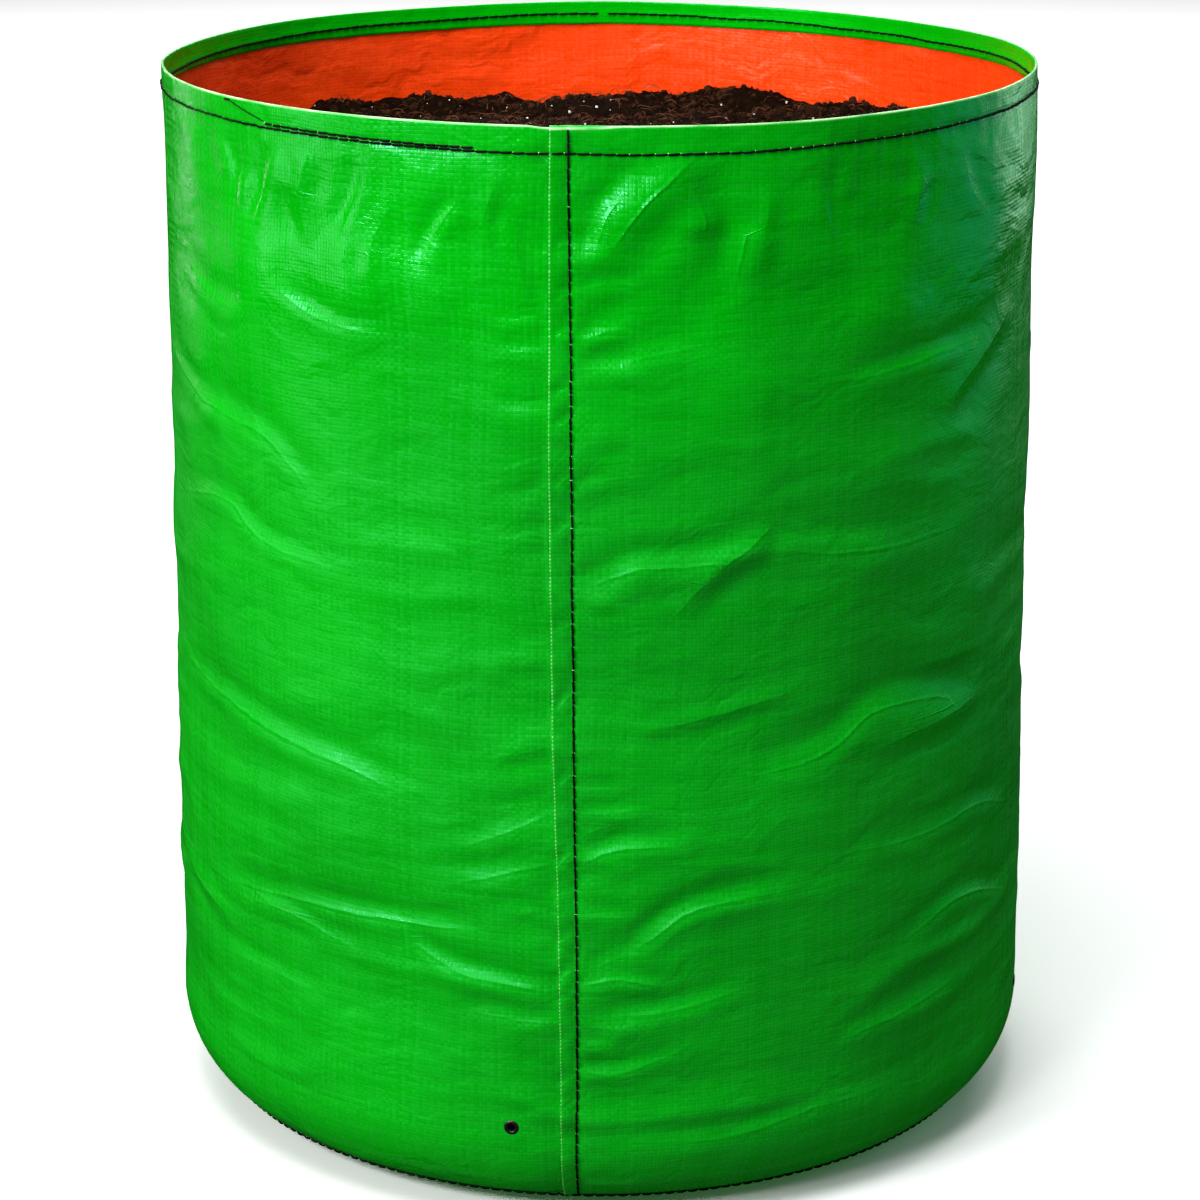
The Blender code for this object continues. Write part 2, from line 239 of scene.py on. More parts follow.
def beside_crease(x, y, smooth, width):
    """Where x and y lie near a crease: (mask, distance across it in widths, how far it has tapered)."""
    middle = (smooth[:, 0].min() + smooth[:, 0].max()) / 2
    round_wall = BELLY * math.tau
    x = x - round_wall * np.round((x - middle) / round_wall)
    low = smooth.min(axis=0) - 4 * width
    high = smooth.max(axis=0) + 4 * width
    near = (x > low[0]) & (x < high[0]) & (y > low[1]) & (y < high[1])
    px = x[near]
    py = y[near]
    best = np.full(px.shape, 1e9)
    side = np.zeros_like(px)
    along = np.zeros_like(px)
    count = len(smooth) - 1
    for i in range(count if near.any() else 0):
        a = smooth[i]
        run = smooth[i + 1] - a
        length = np.hypot(*run)
        from_x = px - a[0]
        from_y = py - a[1]
        held = np.clip((from_x * run[0] + from_y * run[1]) / length ** 2, 0, 1)
        gap = np.hypot(from_x - held * run[0], from_y - held * run[1])
        closer = gap < best
        best = np.where(closer, gap, best)
        across = run[0] * from_y - run[1] * from_x
        side = np.where(closer, np.sign(across) * np.sign(run[0] + 1e-12), side)
        along = np.where(closer, (i + held) / count, along)
    taper = np.sin(math.pi * np.clip(along * 0.94 + 0.03, 0, 1)) ** 0.7
    return near, best * side / width, taper


def crease(x, y, smooth, depth, width):
    """Displacement of one crease at arrays of distance round the wall and height, in metres."""
    out = np.zeros_like(x)
    near, signed, taper = beside_crease(x, y, smooth, width)
    valley = -np.exp(-np.abs(signed) ** 1.5)
    ridge = 0.6 * np.exp(-((signed + 1.5) / 1.0) ** 2)
    out[near] = depth * (valley + ridge) * taper
    return out


def crest_field(x, y):
    """For the film's relief: distance to the nearest crease's crest, in metres, and how sharp it is there."""
    distance = np.full(x.shape, NO_CREST)
    sharp = np.zeros(x.shape)
    for smooth, depth, width in ALL_CREASES:
        near, signed, taper = beside_crease(x, y, smooth, width)
        from_crest = signed + 1.0 if depth > 0 else signed
        strength = taper * min(1.0, abs(depth) / (3 * MM)) * bell(from_crest, 1.5)
        better = strength > sharp[near]
        distance[near] = np.where(better, from_crest * width, distance[near])
        sharp[near] = np.where(better, strength, sharp[near])
    return distance, sharp


def catmull(points, s):
    """A point on a smooth curve through points, s points from its start."""
    i = min(int(s), len(points) - 2)
    t = s - i
    before = points[max(i - 1, 0)]
    a = points[i]
    b = points[i + 1]
    after = points[min(i + 2, len(points) - 1)]
    square = 2 * before - 5 * a + 4 * b - after
    cube = 3 * (a - b) + after - before
    return a + 0.5 * t * (b - before + t * (square + t * cube))


# Small folds that start at the lap seam: how many, the bearing they start at and the side they run to, their
# greatest length in degrees, mean rise and its spread in mm, share of the rise at half length, and least and
# greatest depth in mm.
SEAM_FOLDS = [(26, -2.6, 1, 9, 2, 4, 0.7, 0.3, 0.9), (16, -6.2, -1, 8, -1, 3, 0.6, 0.25, 0.7)]


def random_creases():
    """Creases of the sides and the back, where the filling has pressed the sheet into shallow folds."""
    draw = np.random.default_rng(31)
    made = []
    for _ in range(46):
        b = draw.uniform(78, 282)
        z = draw.triangular(70, 190, 520)
        half = draw.uniform(5, 15)
        tilt = draw.normal(0, 6)
        bow = draw.normal(0, 4)
        line = [(b - half, z - tilt), (b, z + bow), (b + half, z + tilt)]
        made.append((line, draw.choice([-1, 1]) * draw.uniform(0.6, 2.0), draw.uniform(5, 10)))
    for z in (86, 112, 135, 148, 170, 186, 214, 258, 301, 345, 398, 423, 456, 471, 502, 521, 548):
        rise = draw.uniform(4, 11)
        made.append(([(-5.6, z), (-4.6, z + rise * 0.6), (-3.4, z + rise)], draw.uniform(0.5, 0.95), 2.4))
    for count, edge, way, longest, rise_mean, rise_spread, at_half, shallow, deep in SEAM_FOLDS:
        for _ in range(count):
            z = draw.uniform(70, 565)
            length = draw.uniform(3, longest)
            rise = draw.normal(rise_mean, rise_spread)
            far = edge + way * length
            line = sorted([(edge, z), (edge + way * length / 2, z + rise * at_half), (far, z + rise)])
            made.append((line, draw.uniform(shallow, deep), draw.uniform(3, 4.5)))
    return made


def puckers(bearing, height, rim_depth):
    """The sheet drawn in along its stitching: the hem's, the lap's and the base's."""
    x = BELLY * bearing
    edge = BELLY * seam_bearing(height, 1)
    stitch = BELLY * seam_bearing(height, 2)
    front = np.abs(bearing) < math.radians(30)
    hem_line = rim_depth - hem_stitch_depth(bearing)
    out = -0.35 * MM * bell(hem_line, 2.2 * MM)
    ruffle = noise(x / (7 * MM), rim_depth / (16 * MM), 11)
    ruffle = ruffle + 0.6 * noise(x / (3.6 * MM), rim_depth / (9 * MM), 12)
    out = out + 0.34 * MM * ruffle * bell(rim_depth - 14 * MM, 13 * MM)
    seam = -0.6 * MM * bell(x - stitch, 2.6 * MM)
    within = ease(-1.5 * MM, 1.5 * MM, x - edge) * (1 - ease(-1.5 * MM, 1.0 * MM, x - stitch))
    slant = noise((height + 0.8 * (x - edge)) / (5.5 * MM), (x - edge) / (11 * MM), 13)
    seam = seam + 0.6 * MM * slant * within
    beside = ease(0, 3 * MM, x - stitch) * bell(x - stitch, 26 * MM)
    drawn = noise((height - 0.25 * (x - stitch)) / (8 * MM), (x - stitch) / (34 * MM), 14)
    seam = seam + 0.5 * MM * drawn * beside
    before = ease(0, 3 * MM, edge - x) * bell(edge - x, 24 * MM)
    drawn = noise((height + 0.2 * (edge - x)) / (9 * MM), (edge - x) / (34 * MM), 15)
    seam = seam + 0.4 * MM * drawn * before
    return out + np.where(front, seam, 0)


def hem_stitch_depth(bearing):
    """How far below the rim the hem's stitching runs: lowest at the front."""
    return (11.0 + 2.8 * np.cos(bearing) + 0.5 * np.sin(3 * bearing + 1)) * MM


ALL_CREASES = [prepare(*item) for item in CREASES + random_creases()]


def displacement(bearing, height):
    """How far the sheet stands out from the plain wall, in metres, over arrays of bearing and height."""
    turn = half_turn(bearing)
    share = turn / math.tau
    rim_depth = HEIGHT - height
    out = 1.1 * MM * noise(share * 12, height / (150 * MM), 1, wrap=12)
    out = out + 0.7 * MM * noise(share * 26, height / (70 * MM), 2, wrap=26)
    flute = noise(share * 34 + 0.2 * np.sin(height * 30), height / (180 * MM), 3, wrap=34)
    out = out + 1.0 * MM * flute * ease(0.36, 0.57, height) * ease(-2 * MM, 26 * MM, rim_depth)
    filled = 1 - ease(0.30, 0.52, height)
    bent = height + 16 * MM * noise(share * 22, height / (90 * MM), 7, wrap=22)
    fold = 1 - 2 * np.abs(noise(share * 15, bent / (30 * MM), 4, wrap=15))
    uneven = 0.7 + 0.6 * noise(share * 9, height / (120 * MM), 8, wrap=9)
    out = out + 1.35 * MM * fold * (0.35 + 0.65 * filled) * uneven
    small = 1 - 2 * np.abs(noise(share * 44, bent / (12 * MM), 5, wrap=44))
    patchy = ease(-0.2, 0.5, noise(share * 12, height / (70 * MM), 9, wrap=12))
    out = out + 0.42 * MM * small * patchy * (0.3 + 0.7 * filled)
    leaning = noise(share * 52 + height * 9, height / (34 * MM), 10, wrap=52)
    out = out + 1.0 * MM * leaning * (1 - filled)
    out = out + 0.14 * MM * noise(share * 150, height / (10 * MM), 6, wrap=150)
    for smooth, depth, width in ALL_CREASES:
        out = out + crease(turn * BELLY, height, smooth, depth, width)
    for b, z, wide, tall, stand in BULGES:
        gap = half_turn(turn - math.radians(b))
        out = out + stand * MM * bell(gap * BELLY, wide * MM) * bell(height - z * MM, tall * MM)
    out = out * (1 - 0.5 * bell(np.abs(turn) - math.radians(86), 0.36))
    foot_fade = ease(20 * MM, 75 * MM, height)
    rim_fade = 0.25 + 0.75 * ease(3 * MM, 30 * MM, rim_depth)
    out = out * foot_fade * rim_fade + puckers(turn, height, rim_depth) * ease(14 * MM, 30 * MM, height)
    for eyelet in EYELET_BEARINGS:
        gap = half_turn(turn - eyelet)
        from_eye = np.hypot(gap * BELLY, height - EYELET_Z)
        out = out * (1 - 0.8 * bell(from_eye, 9 * MM)) + 0.45 * MM * bell(from_eye - 5.6 * MM, 1.3 * MM)
    return out


def rim_shift(bearing):
    """How the rim stands off its circle: (outward, upward). It is drawn out a little at both sides."""
    turn = half_turn(bearing)
    outward = 1.6 * MM * (bell(turn - math.pi / 2, 0.34) + bell(turn + math.pi / 2, 0.34))
    outward = outward + 0.8 * MM * noise(turn / math.tau * 9, 0 * turn, 21, wrap=9)
    upward = 0.7 * MM * noise(turn / math.tau * 14, 0 * turn + 3, 22, wrap=14)
    return outward, upward - 0.7 * MM


def place(radius, bearing, height):
    """Points in the frame: bearing 0 is the front, -Y."""
    return np.stack([radius * np.sin(bearing), -radius * np.cos(bearing), height], axis=-1)


# ---------------------------------------------------------------- mesh helpers
def mesh_piece(name, points, faces, materials, face_materials=None, uvs=None, crests=None, smooth=True):
    """A mesh object. uvs has one (u, v) per point, in metres along the sheet, and crests its crest_field."""
    mesh = bpy.data.meshes.new(name)
    mesh.from_pydata([tuple(p) for p in points], [], faces)
    for item in materials:
        mesh.materials.append(item)
    if face_materials is not None:
        mesh.polygons.foreach_set("material_index", np.asarray(face_materials, dtype=np.int32))
    for layer_name, values in (("sheet", uvs), ("crests", crests)):
        if values is not None:
            layer = mesh.uv_layers.new(name=layer_name)
            index = np.empty(len(mesh.loops), dtype=np.int32)
            mesh.loops.foreach_get("vertex_index", index)
            layer.data.foreach_set("uv", np.asarray(values, dtype=np.float32)[index].ravel())
    mesh.polygons.foreach_set("use_smooth", np.full(len(mesh.polygons), smooth))
    mesh.update()
    piece = bpy.data.objects.new(name, mesh)
    bpy.context.scene.collection.objects.link(piece)
    return piece


def grid_faces(rows, columns, start, flip=False, closed=False):
    """Quads of a grid stored row by row. closed joins its last column to its first."""
    faces = []
    last = columns if closed else columns - 1
    for i in range(rows - 1):
        for j in range(last):
            k = (j + 1) % columns
            a = start + i * columns + j
            b = start + i * columns + k
            c = start + (i + 1) * columns + k
            d = start + (i + 1) * columns + j
            faces.append((a, d, c, b) if flip else (a, b, c, d))
    return faces


# ---------------------------------------------------------------- materials
class Net:
    """A material and short calls that add nodes to it."""

    def __init__(self, name):
        self.material = bpy.data.materials.new(name)
        self.material.use_nodes = True
        self.tree = self.material.node_tree
        self.shader = self.tree.nodes["Principled BSDF"]

    def put(self, socket, value):
        if isinstance(value, bpy.types.NodeSocket):
            self.tree.links.new(value, socket)
        else:
            socket.default_value = value

    def node(self, kind, inputs, output=0, **settings):
        made = self.tree.nodes.new(kind)
        for key, value in settings.items():
            setattr(made, key, value)
        for key, value in inputs.items():
            self.put(made.inputs[key], value)
        return made.outputs[output]

    def math(self, operation, *values):
        return self.node("ShaderNodeMath", dict(enumerate(values)), operation=operation)

    def plus(self, a, b):
        return self.math("ADD", a, b)

    def minus(self, a, b):
        return self.math("SUBTRACT", a, b)

    def times(self, a, b):
        return self.math("MULTIPLY", a, b)

    def blend(self, share, a, b):
        """A number that goes from a to b with share."""
        return self.plus(a, self.times(share, self.minus(b, a)))

    def centred(self, value, width):
        """A value from 0 to 1 moved to lie round 0, width wide."""
        return self.times(self.minus(value, 0.5), width)

    def from_middle(self, position):
        """0 in the middle of each unit of position and 1 where two units meet."""
        return self.math("ABSOLUTE", self.math("MULTIPLY_ADD", self.math("FRACT", position), 2.0, -1.0))

    def parts(self, uv_map):
        """The two numbers of a UV map."""
        made = self.tree.nodes.new("ShaderNodeSeparateXYZ")
        self.put(made.inputs[0], self.node("ShaderNodeUVMap", {}, uv_map=uv_map))
        return made.outputs[0], made.outputs[1]

    def noise(self, vector, scale, detail=2.0, roughness=0.5, **settings):
        inputs = {"Vector": vector, "Scale": scale, "Detail": detail, "Roughness": roughness}
        return self.node("ShaderNodeTexNoise", inputs, **settings)

    def random(self, number):
        return self.node("ShaderNodeTexWhiteNoise", {"W": number}, noise_dimensions="1D")

    def ramp(self, value, low, high):
        """value stretched so that low becomes 0 and high becomes 1."""
        inputs = {"Value": value, "From Min": low, "From Max": high}
        return self.node("ShaderNodeMapRange", inputs, clamp=True)

    def colour(self, share, a, b):
        made = self.tree.nodes.new("ShaderNodeMix")
        made.data_type = "RGBA"
        self.put(made.inputs[0], share)
        self.put(made.inputs[6], (*a, 1) if isinstance(a, tuple) else a)
        self.put(made.inputs[7], (*b, 1) if isinstance(b, tuple) else b)
        return made.outputs[2]

    def bump(self, height, distance, strength=1.0, under=None):
        inputs = {"Height": height, "Distance": distance, "Strength": strength}
        if under is not None:
            inputs["Normal"] = under
        return self.node("ShaderNodeBump", inputs)

    def finish(self, **sockets):
        names = {"base": "Base Color", "rough": "Roughness", "normal": "Normal",
                 "specular": "Specular IOR Level", "tint": "Specular Tint"}
        for key, value in sockets.items():
            self.put(self.shader.inputs[names[key]], value)
        return self.material


def woven(name, deep, bright, pale, rough, tint, specular=0.5, crush=1.0):
    """Sheet woven from flat plastic tapes with a film over them. deep and bright are its two tones, and pale
    is painted on as highlights at the rim's fold and the cut edge.
    """
    net = Net(name)
    uv = net.node("ShaderNodeUVMap", {}, uv_map="sheet")
    round_run, up_run = net.parts("sheet")
    slack = net.centred(net.noise(uv, 9.0), 0.012)
    across = net.math("DIVIDE", net.plus(round_run, slack), TAPE)
    up = net.math("DIVIDE", net.plus(up_run, slack), TAPE)
    across_tape = net.math("FLOOR", across)
    up_tape = net.math("FLOOR", up)
    parity = net.math("FLOORED_MODULO", net.plus(across_tape, up_tape), 2.0)
    bows = []
    for position in (across, up):
        bows.append(net.minus(1.0, net.math("POWER", net.from_middle(position), 2.0)))
    upright = net.times(net.math("POWER", bows[0], 0.4), net.math("MULTIPLY_ADD", bows[1], 0.6, 0.4))
    level = net.times(net.math("POWER", bows[1], 0.4), net.math("MULTIPLY_ADD", bows[0], 0.6, 0.4))
    weave = net.blend(parity, level, net.math("MULTIPLY_ADD", upright, 0.6, 0.25))
    upright_tone = net.random(across_tape)
    level_tone = net.random(net.plus(up_tape, 700.5))
    tone = net.blend(parity, level_tone, upright_tone)
    broad = net.noise(uv, 7.0, 3.0)
    fine = net.noise(uv, 90.0, 3.0)
    shade = net.plus(net.times(tone, 0.13), broad)
    # Painted shade: the grooves between the tapes are painted darker and their crowns lighter.
    shade = net.plus(shade, net.times(net.minus(weave, 0.6), 0.1))
    base = net.colour(net.ramp(shade, 0.25, 1.05), deep, bright)
    # Painted highlight: the fold at the rim is painted pale in patches, standing in for the light that the
    # fold catches.
    from_fold = net.math("ABSOLUTE", net.minus(up_run, TOP_RUN + 0.6 * MM))
    patches = net.ramp(net.noise(uv, 60.0), 0.25, 0.6)
    painted_rim_highlight = net.times(net.ramp(from_fold, 0.75 * MM, 0.2 * MM), patches)
    base = net.colour(net.times(painted_rim_highlight, 0.8), base, pale)
    # Painted glints: pale dots on the film at its cut edge, one to a tape, standing in for the light that the
    # edge catches.
    from_cut = net.math("ABSOLUTE", net.minus(round_run, CUT_RUN))
    dot = net.from_middle(up)
    painted_edge_glint = net.times(net.ramp(from_cut, 0.75 * MM, 0.3 * MM), net.ramp(dot, 0.75, 0.3))
    painted_edge_glint = net.times(painted_edge_glint, net.math("MULTIPLY_ADD", level_tone, 0.45, 0.1))
    base = net.colour(painted_edge_glint, base, pale)
    gloss = net.plus(rough, net.times(tone, 0.22))
    gloss = net.plus(gloss, net.centred(fine, 0.18))
    handled = net.ramp(up_run, TOP_RUN - 100 * MM, TOP_RUN - 190 * MM)
    gloss = net.plus(gloss, net.times(handled, 0.17))
    bend = net.node("ShaderNodeTexNoise", {"Vector": uv, "Scale": 18.0, "Detail": 3.0}, output=1)
    bend = net.node("ShaderNodeVectorMath", {0: bend, 1: (0.05, 0.05, 0.0)}, operation="MULTIPLY")
    bent = net.node("ShaderNodeVectorMath", {0: uv, 1: bend}, operation="ADD")
    stretched = net.node("ShaderNodeVectorMath", {0: bent, 1: (0.45, 1.0, 1.0)}, operation="MULTIPLY")
    crumple = net.node("ShaderNodeTexVoronoi", {"Vector": stretched, "Scale": 26.0, "Randomness": 1.0},
                       feature="DISTANCE_TO_EDGE")
    kinks = net.node("ShaderNodeTexVoronoi", {"Vector": bent, "Scale": 60.0, "Randomness": 1.0},
                     feature="DISTANCE_TO_EDGE")
    here = net.ramp(net.noise(uv, 6.0, 2.0), 0.42, 0.62)
    there = net.ramp(net.noise(uv, 9.0, 2.0), 0.48, 0.66)
    soft = net.noise(stretched, 30.0, 3.0, 0.55)
    normal = net.bump(soft, 0.0045 * crush, 0.55)
    facets = net.times(net.ramp(crumple, 0.0, 0.16), here)
    normal = net.bump(facets, 0.0005 * crush, 0.5, normal)
    facets = net.times(net.ramp(kinks, 0.0, 0.10), there)
    normal = net.bump(facets, 0.00018 * crush, 0.5, normal)
    crest_distance, crest_sharp = net.parts("crests")
    shift = net.centred(net.noise(uv, 45.0), 3 * MM)
    from_crest = net.math("ABSOLUTE", net.plus(crest_distance, shift))
    pinch = net.times(net.ramp(from_crest, 2.0 * MM, 0.0), crest_sharp)
    normal = net.bump(net.math("POWER", pinch, 1.4), 0.55 * MM, 0.9, normal)
    normal = net.bump(fine, 0.0004, 0.35, normal)
    normal = net.bump(weave, 0.00017, 0.55, normal)
    folded_in = net.ramp(up_run, TOP_RUN + 1.5 * MM, TOP_RUN + 2.5 * MM)
    shine = net.blend(folded_in, specular, 0.04)
    return net.finish(base=base, rough=gloss, normal=normal, specular=shine, tint=(*tint, 1))


def cut_edge(name, dark, pale):
    """The sheet's cut edge, where the ends of its tapes show as a row of pale dots: painted glints of the
    light that the edge catches.
    """
    net = Net(name)
    round_run, up_run = net.parts("sheet")
    along = net.math("DIVIDE", net.plus(round_run, up_run), TAPE)
    from_middle = net.from_middle(along)
    # Painted glints: how strong each tape end's painted glint is, at random.
    painted_edge_glint = net.math("MULTIPLY_ADD", net.random(net.math("FLOOR", along)), 0.6, 0.4)
    strength = net.times(net.ramp(from_middle, 0.6, 0.2), painted_edge_glint)
    base = net.colour(strength, dark, pale)
    normal = net.bump(from_middle, 0.0004, 0.6)
    return net.finish(base=base, rough=net.math("MULTIPLY_ADD", strength, 0.2, 0.35), normal=normal)


def solid(name, deep, bright, rough, scale, relief, **more):
    """A material without weave: two tones by a noise of that scale, per loose part too, and a fine relief."""
    net = Net(name)
    where = net.node("ShaderNodeTexCoord", {}, output=3)
    island = net.tree.nodes.new("ShaderNodeNewGeometry").outputs["Random Per Island"]
    grain = net.noise(where, scale, 4.0, 0.6)
    fine = net.noise(where, scale * 4, 3.0, 0.6)
    share = net.plus(net.times(grain, 0.6), net.times(island, 0.4))
    base = net.colour(net.ramp(share, 0.25, 0.8), deep, bright)
    gloss = net.plus(rough, net.centred(fine, 0.2))
    normal = net.bump(grain, relief, 0.6)
    normal = net.bump(fine, relief * 0.3, 0.6, normal)
    return net.finish(base=base, rough=gloss, normal=normal, **more)


# pale is the painted highlight at the rim's fold and the painted glints along the cut edge.
GREEN = woven("green_film", (0.0, 0.27, 0.001), (0.0, 0.46, 0.002), pale=(0.5, 0.85, 0.42),
              rough=0.13, tint=(0.25, 1.0, 0.66), specular=0.52)
ORANGE = woven("orange_film", (0.8, 0.035, 0.001), (1.0, 0.075, 0.003), pale=(1.0, 0.5, 0.3),
               rough=0.24, tint=(1.0, 0.7, 0.55), specular=0.6, crush=1.7)
EDGE = cut_edge("green_cut_edge", (0.01, 0.42, 0.012), (0.8, 1.0, 0.72))
# The needle lips' pale tones are partly the stretched plastic's whitening and partly a painted glint.
PRICKED = solid("green_needle_lips", (0.03, 0.42, 0.03), (0.5, 0.9, 0.42), 0.35, 900.0, 0.0001)
BLACK_THREAD = solid("black_thread", (0.001, 0.0015, 0.001), (0.007, 0.008, 0.007), 0.7, 2500.0, 0.0002,
                     specular=0.04)
BLACK_METAL = solid("black_lacquer", (0.004, 0.004, 0.004), (0.016, 0.016, 0.017), 0.3, 600.0, 0.00006)
MIX = solid("potting_mix", (0.005, 0.0022, 0.001), (0.027, 0.0105, 0.0045), 0.95, 300.0, 0.003,
            specular=0.02)
CRUMB = solid("potting_mix_crumbs", (0.005, 0.0022, 0.0011), (0.043, 0.016, 0.007), 0.92, 500.0, 0.001,
              specular=0.04)
FIBRE = solid("coir_fibres", (0.04, 0.013, 0.006), (0.2, 0.068, 0.03), 0.8, 500.0, 0.0002, specular=0.1)
PERLITE = solid("perlite", (0.52, 0.5, 0.46), (0.86, 0.84, 0.8), 0.8, 900.0, 0.0004)


# ---------------------------------------------------------------- the sheet in section
def foot_angle(path):
    """The section's turn at path metres from its tucked end: from straight down to upright."""
    return np.minimum(TUCK + path / FOOT, math.pi / 2)


def height_at(path):
    """Height of the plain wall at path metres from its tucked end."""
    return np.where(path < FOOT_RUN, FOOT_Z - FOOT * np.cos(foot_angle(path)), FOOT_Z + path - FOOT_RUN)


def face(bearing, path, inward=0.0):
    """The wall's outside face at path metres from its tucked end, moved inward.

    Returns radius, height and the outward normal's two parts."""
    angle = foot_angle(path)
    height = height_at(path)
    normal_r = np.sin(angle)
    normal_z = -np.cos(angle)
    out = displacement(bearing, height)
    outward, upward = rim_shift(bearing)
    top = ease(0.42, HEIGHT, height)
    plain = np.where(path < FOOT_RUN, FOOT_R + FOOT * normal_r, wall_radius(height))
    radius = plain + (out - inward) * normal_r + outward * top
    return radius, height + (out - inward) * normal_z + upward * top ** 2, normal_r, normal_z


def nominal_bearing(bearing, height):
    """The sheet's own bearing whose real bearing, after it follows the seam, is this one."""
    guess = np.array([bearing])
    for _ in range(30):
        guess = guess - (wander(guess, np.array([height])) - bearing)
    return float(guess[0])


EYE_CELL = 2.0 * MM  # half of the square of sheet taken out for an eyelet, before it is drawn to a circle
EYE_HOLE = 2.55 * MM
EYE_NOMINAL = [nominal_bearing(b, EYELET_Z) for b in EYELET_BEARINGS]
EYE_PATH = FOOT_RUN + EYELET_Z - FOOT_Z


def with_stops(values, stops, reach):
    """values with those near a stop replaced by the stop and two more on each side of it."""
    kept = [v for v in values if all(abs(v - stop) > reach * 2.9 for stop in stops)]
    for stop in stops:
        kept += [stop - 2.1 * reach, stop - reach, stop, stop + reach, stop + 2.1 * reach]
    return sorted(kept)


FOOT_ROWS = 17  # rows of the wall sheet round its foot
RIM_ROWS = 6  # rows next to the rim that the inner skin keeps all of
RIM_ZONE = 30 * MM  # under the rim, where rows close up so that every column ends at its own fold


def column_bearings():
    """Bearings of the wall sheet's columns, from its inner end leftwards round to its outer end."""
    start = LAP_END
    end = LAP_EDGE - math.tau
    made = [start]
    while made[-1] > end:
        turn = abs(math.remainder(made[-1], math.tau)) * BELLY
        step = 1.35 if turn < 0.034 else 3.0 if turn < 0.41 else 7.0
        made.append(made[-1] - step * MM / BELLY)
    scale = (end - start) / (made[-1] - start)
    made = [start + (b - start) * scale for b in made]
    stops = []
    for b in EYE_NOMINAL:
        stops.append(b if b < LAP_END else b - math.tau)
    return np.array(with_stops(made, stops, EYE_CELL / BELLY)[::-1])


def row_paths():
    """Distances of the wall sheet's rows from its tucked end."""
    foot = list(np.linspace(0, FOOT_RUN, FOOT_ROWS)[:-1])
    wall = list(np.arange(FOOT_RUN, TOP_RUN - 26 * MM, 3.6 * MM))
    top = list(np.linspace(TOP_RUN - 25 * MM, TOP_RUN, 15))
    return np.array(with_stops(foot + wall + top, [EYE_PATH], EYE_CELL))


def wall_piece():
    """The wall: one sheet, lapped at the front seam, tucked under the foot and folded in at the rim."""
    nominal = column_bearings()
    paths = row_paths()
    turn = half_turn(nominal)
    inner_end = nominal > -math.pi
    under = ease(LAP_EDGE - math.radians(3.0), LAP_EDGE - math.radians(0.4), turn) * inner_end
    over = (1 - ease(math.radians(-0.8), math.radians(3.5), turn)) * ease(-0.3, -0.2, turn) * ~inner_end
    inset = LAYER * under
    spacing = LAYER * (1 + 2 * over)
    at_edge = ease(LAP_EDGE + math.radians(2.3), LAP_EDGE, turn) * (~inner_end & (np.abs(turn) < 0.3))
    last = TOP_RUN - inset - (spacing + SHEET) / 2

    column, row = np.meshgrid(np.arange(len(nominal)), np.arange(len(paths)))
    path = paths[row] * 1.0
    squeeze = (last[column] - (TOP_RUN - RIM_ZONE)) / RIM_ZONE
    above = path > TOP_RUN - RIM_ZONE
    path = np.where(above, TOP_RUN - RIM_ZONE + (path - TOP_RUN + RIM_ZONE) * squeeze, path)
    base_bearing = nominal[column]
    sideways = np.zeros_like(path)
    lengthways = np.zeros_like(path)
    for eye in EYE_NOMINAL:
        gap = half_turn(base_bearing - eye) * BELLY
        rise = path - EYE_PATH
        square = np.maximum(np.abs(gap), np.abs(rise))
        circle = np.maximum(np.hypot(gap, rise), 1e-9)
        grow = 1 + (EYE_HOLE / EYE_CELL - 1) * (1 - ease(EYE_CELL, 3 * EYE_CELL, square))
        hold = 1 - ease(2.2 * EYE_CELL, 5 * EYE_CELL, square)
        factor = (square / circle * grow - 1) * hold
        sideways = sideways + gap * factor
        lengthways = lengthways + rise * factor
    path = path + lengthways
    bearing = base_bearing + sideways / BELLY
    height = height_at(path)
    near = half_turn(bearing)
    real = wander(near, height)
    lift = 1.1 * MM * at_edge[column] * (1.0 + 0.6 * noise(height / (9 * MM), 0 * height, 41))
    radius, z, normal_r, normal_z = face(real, path, inset[column] - lift + SHEET / 2)
    rows = [(radius, real, z, normal_r, normal_z, paths[:, None] + 0 * radius)]

    rim_radius = radius[-1]
    rim_bearing = real[-1]
    rim_z = z[-1]
    for angle in np.linspace(0, math.pi, 8)[1:-1]:
        r = rim_radius - spacing / 2 * (1 - math.cos(angle))
        fold_z = rim_z + spacing / 2 * math.sin(angle)
        run = TOP_RUN + spacing / 2 * angle
        full = np.ones_like(r)
        rows.append((r[None], rim_bearing[None], fold_z[None], (full * math.cos(angle))[None],
                     (full * math.sin(angle))[None], run[None]))
    width = (17.2 + 0.8 * np.cos(turn)) * MM
    stitched = hem_stitch_depth(turn)
    for share in np.linspace(0, 1, 10):
        drop = share * (width - 3 * MM)
        path = last - drop
        r, leg_z, _, _ = face(rim_bearing, path, inset + SHEET / 2)
        loose = ease(stitched - 2 * MM, width, drop + spacing)
        gape = noise(BELLY * turn / (9 * MM), 0 * turn, 42) + 0.8
        r = r - spacing - loose * gape * 0.5 * MM
        full = np.ones_like(r)
        rows.append((r[None], rim_bearing[None], leg_z[None], -full[None], 0 * full[None],
                     (TOP_RUN + 2 * MM + drop)[None]))
    r, b, z, nr, nz, run = (np.concatenate([group[i] for group in rows]) for i in range(6))
    outer = place(r + nr * SHEET / 2, b, z + nz * SHEET / 2)
    inner = place(r - nr * SHEET / 2, b, z - nz * SHEET / 2)
    uv = np.stack([np.broadcast_to(nominal * BELLY, r.shape), run], axis=-1)
    crest = np.stack(crest_field(b * BELLY, z), axis=-1)
    crest[len(paths):] = (NO_CREST, 0)
    return wall_mesh(outer, inner, uv, crest, nominal, paths)


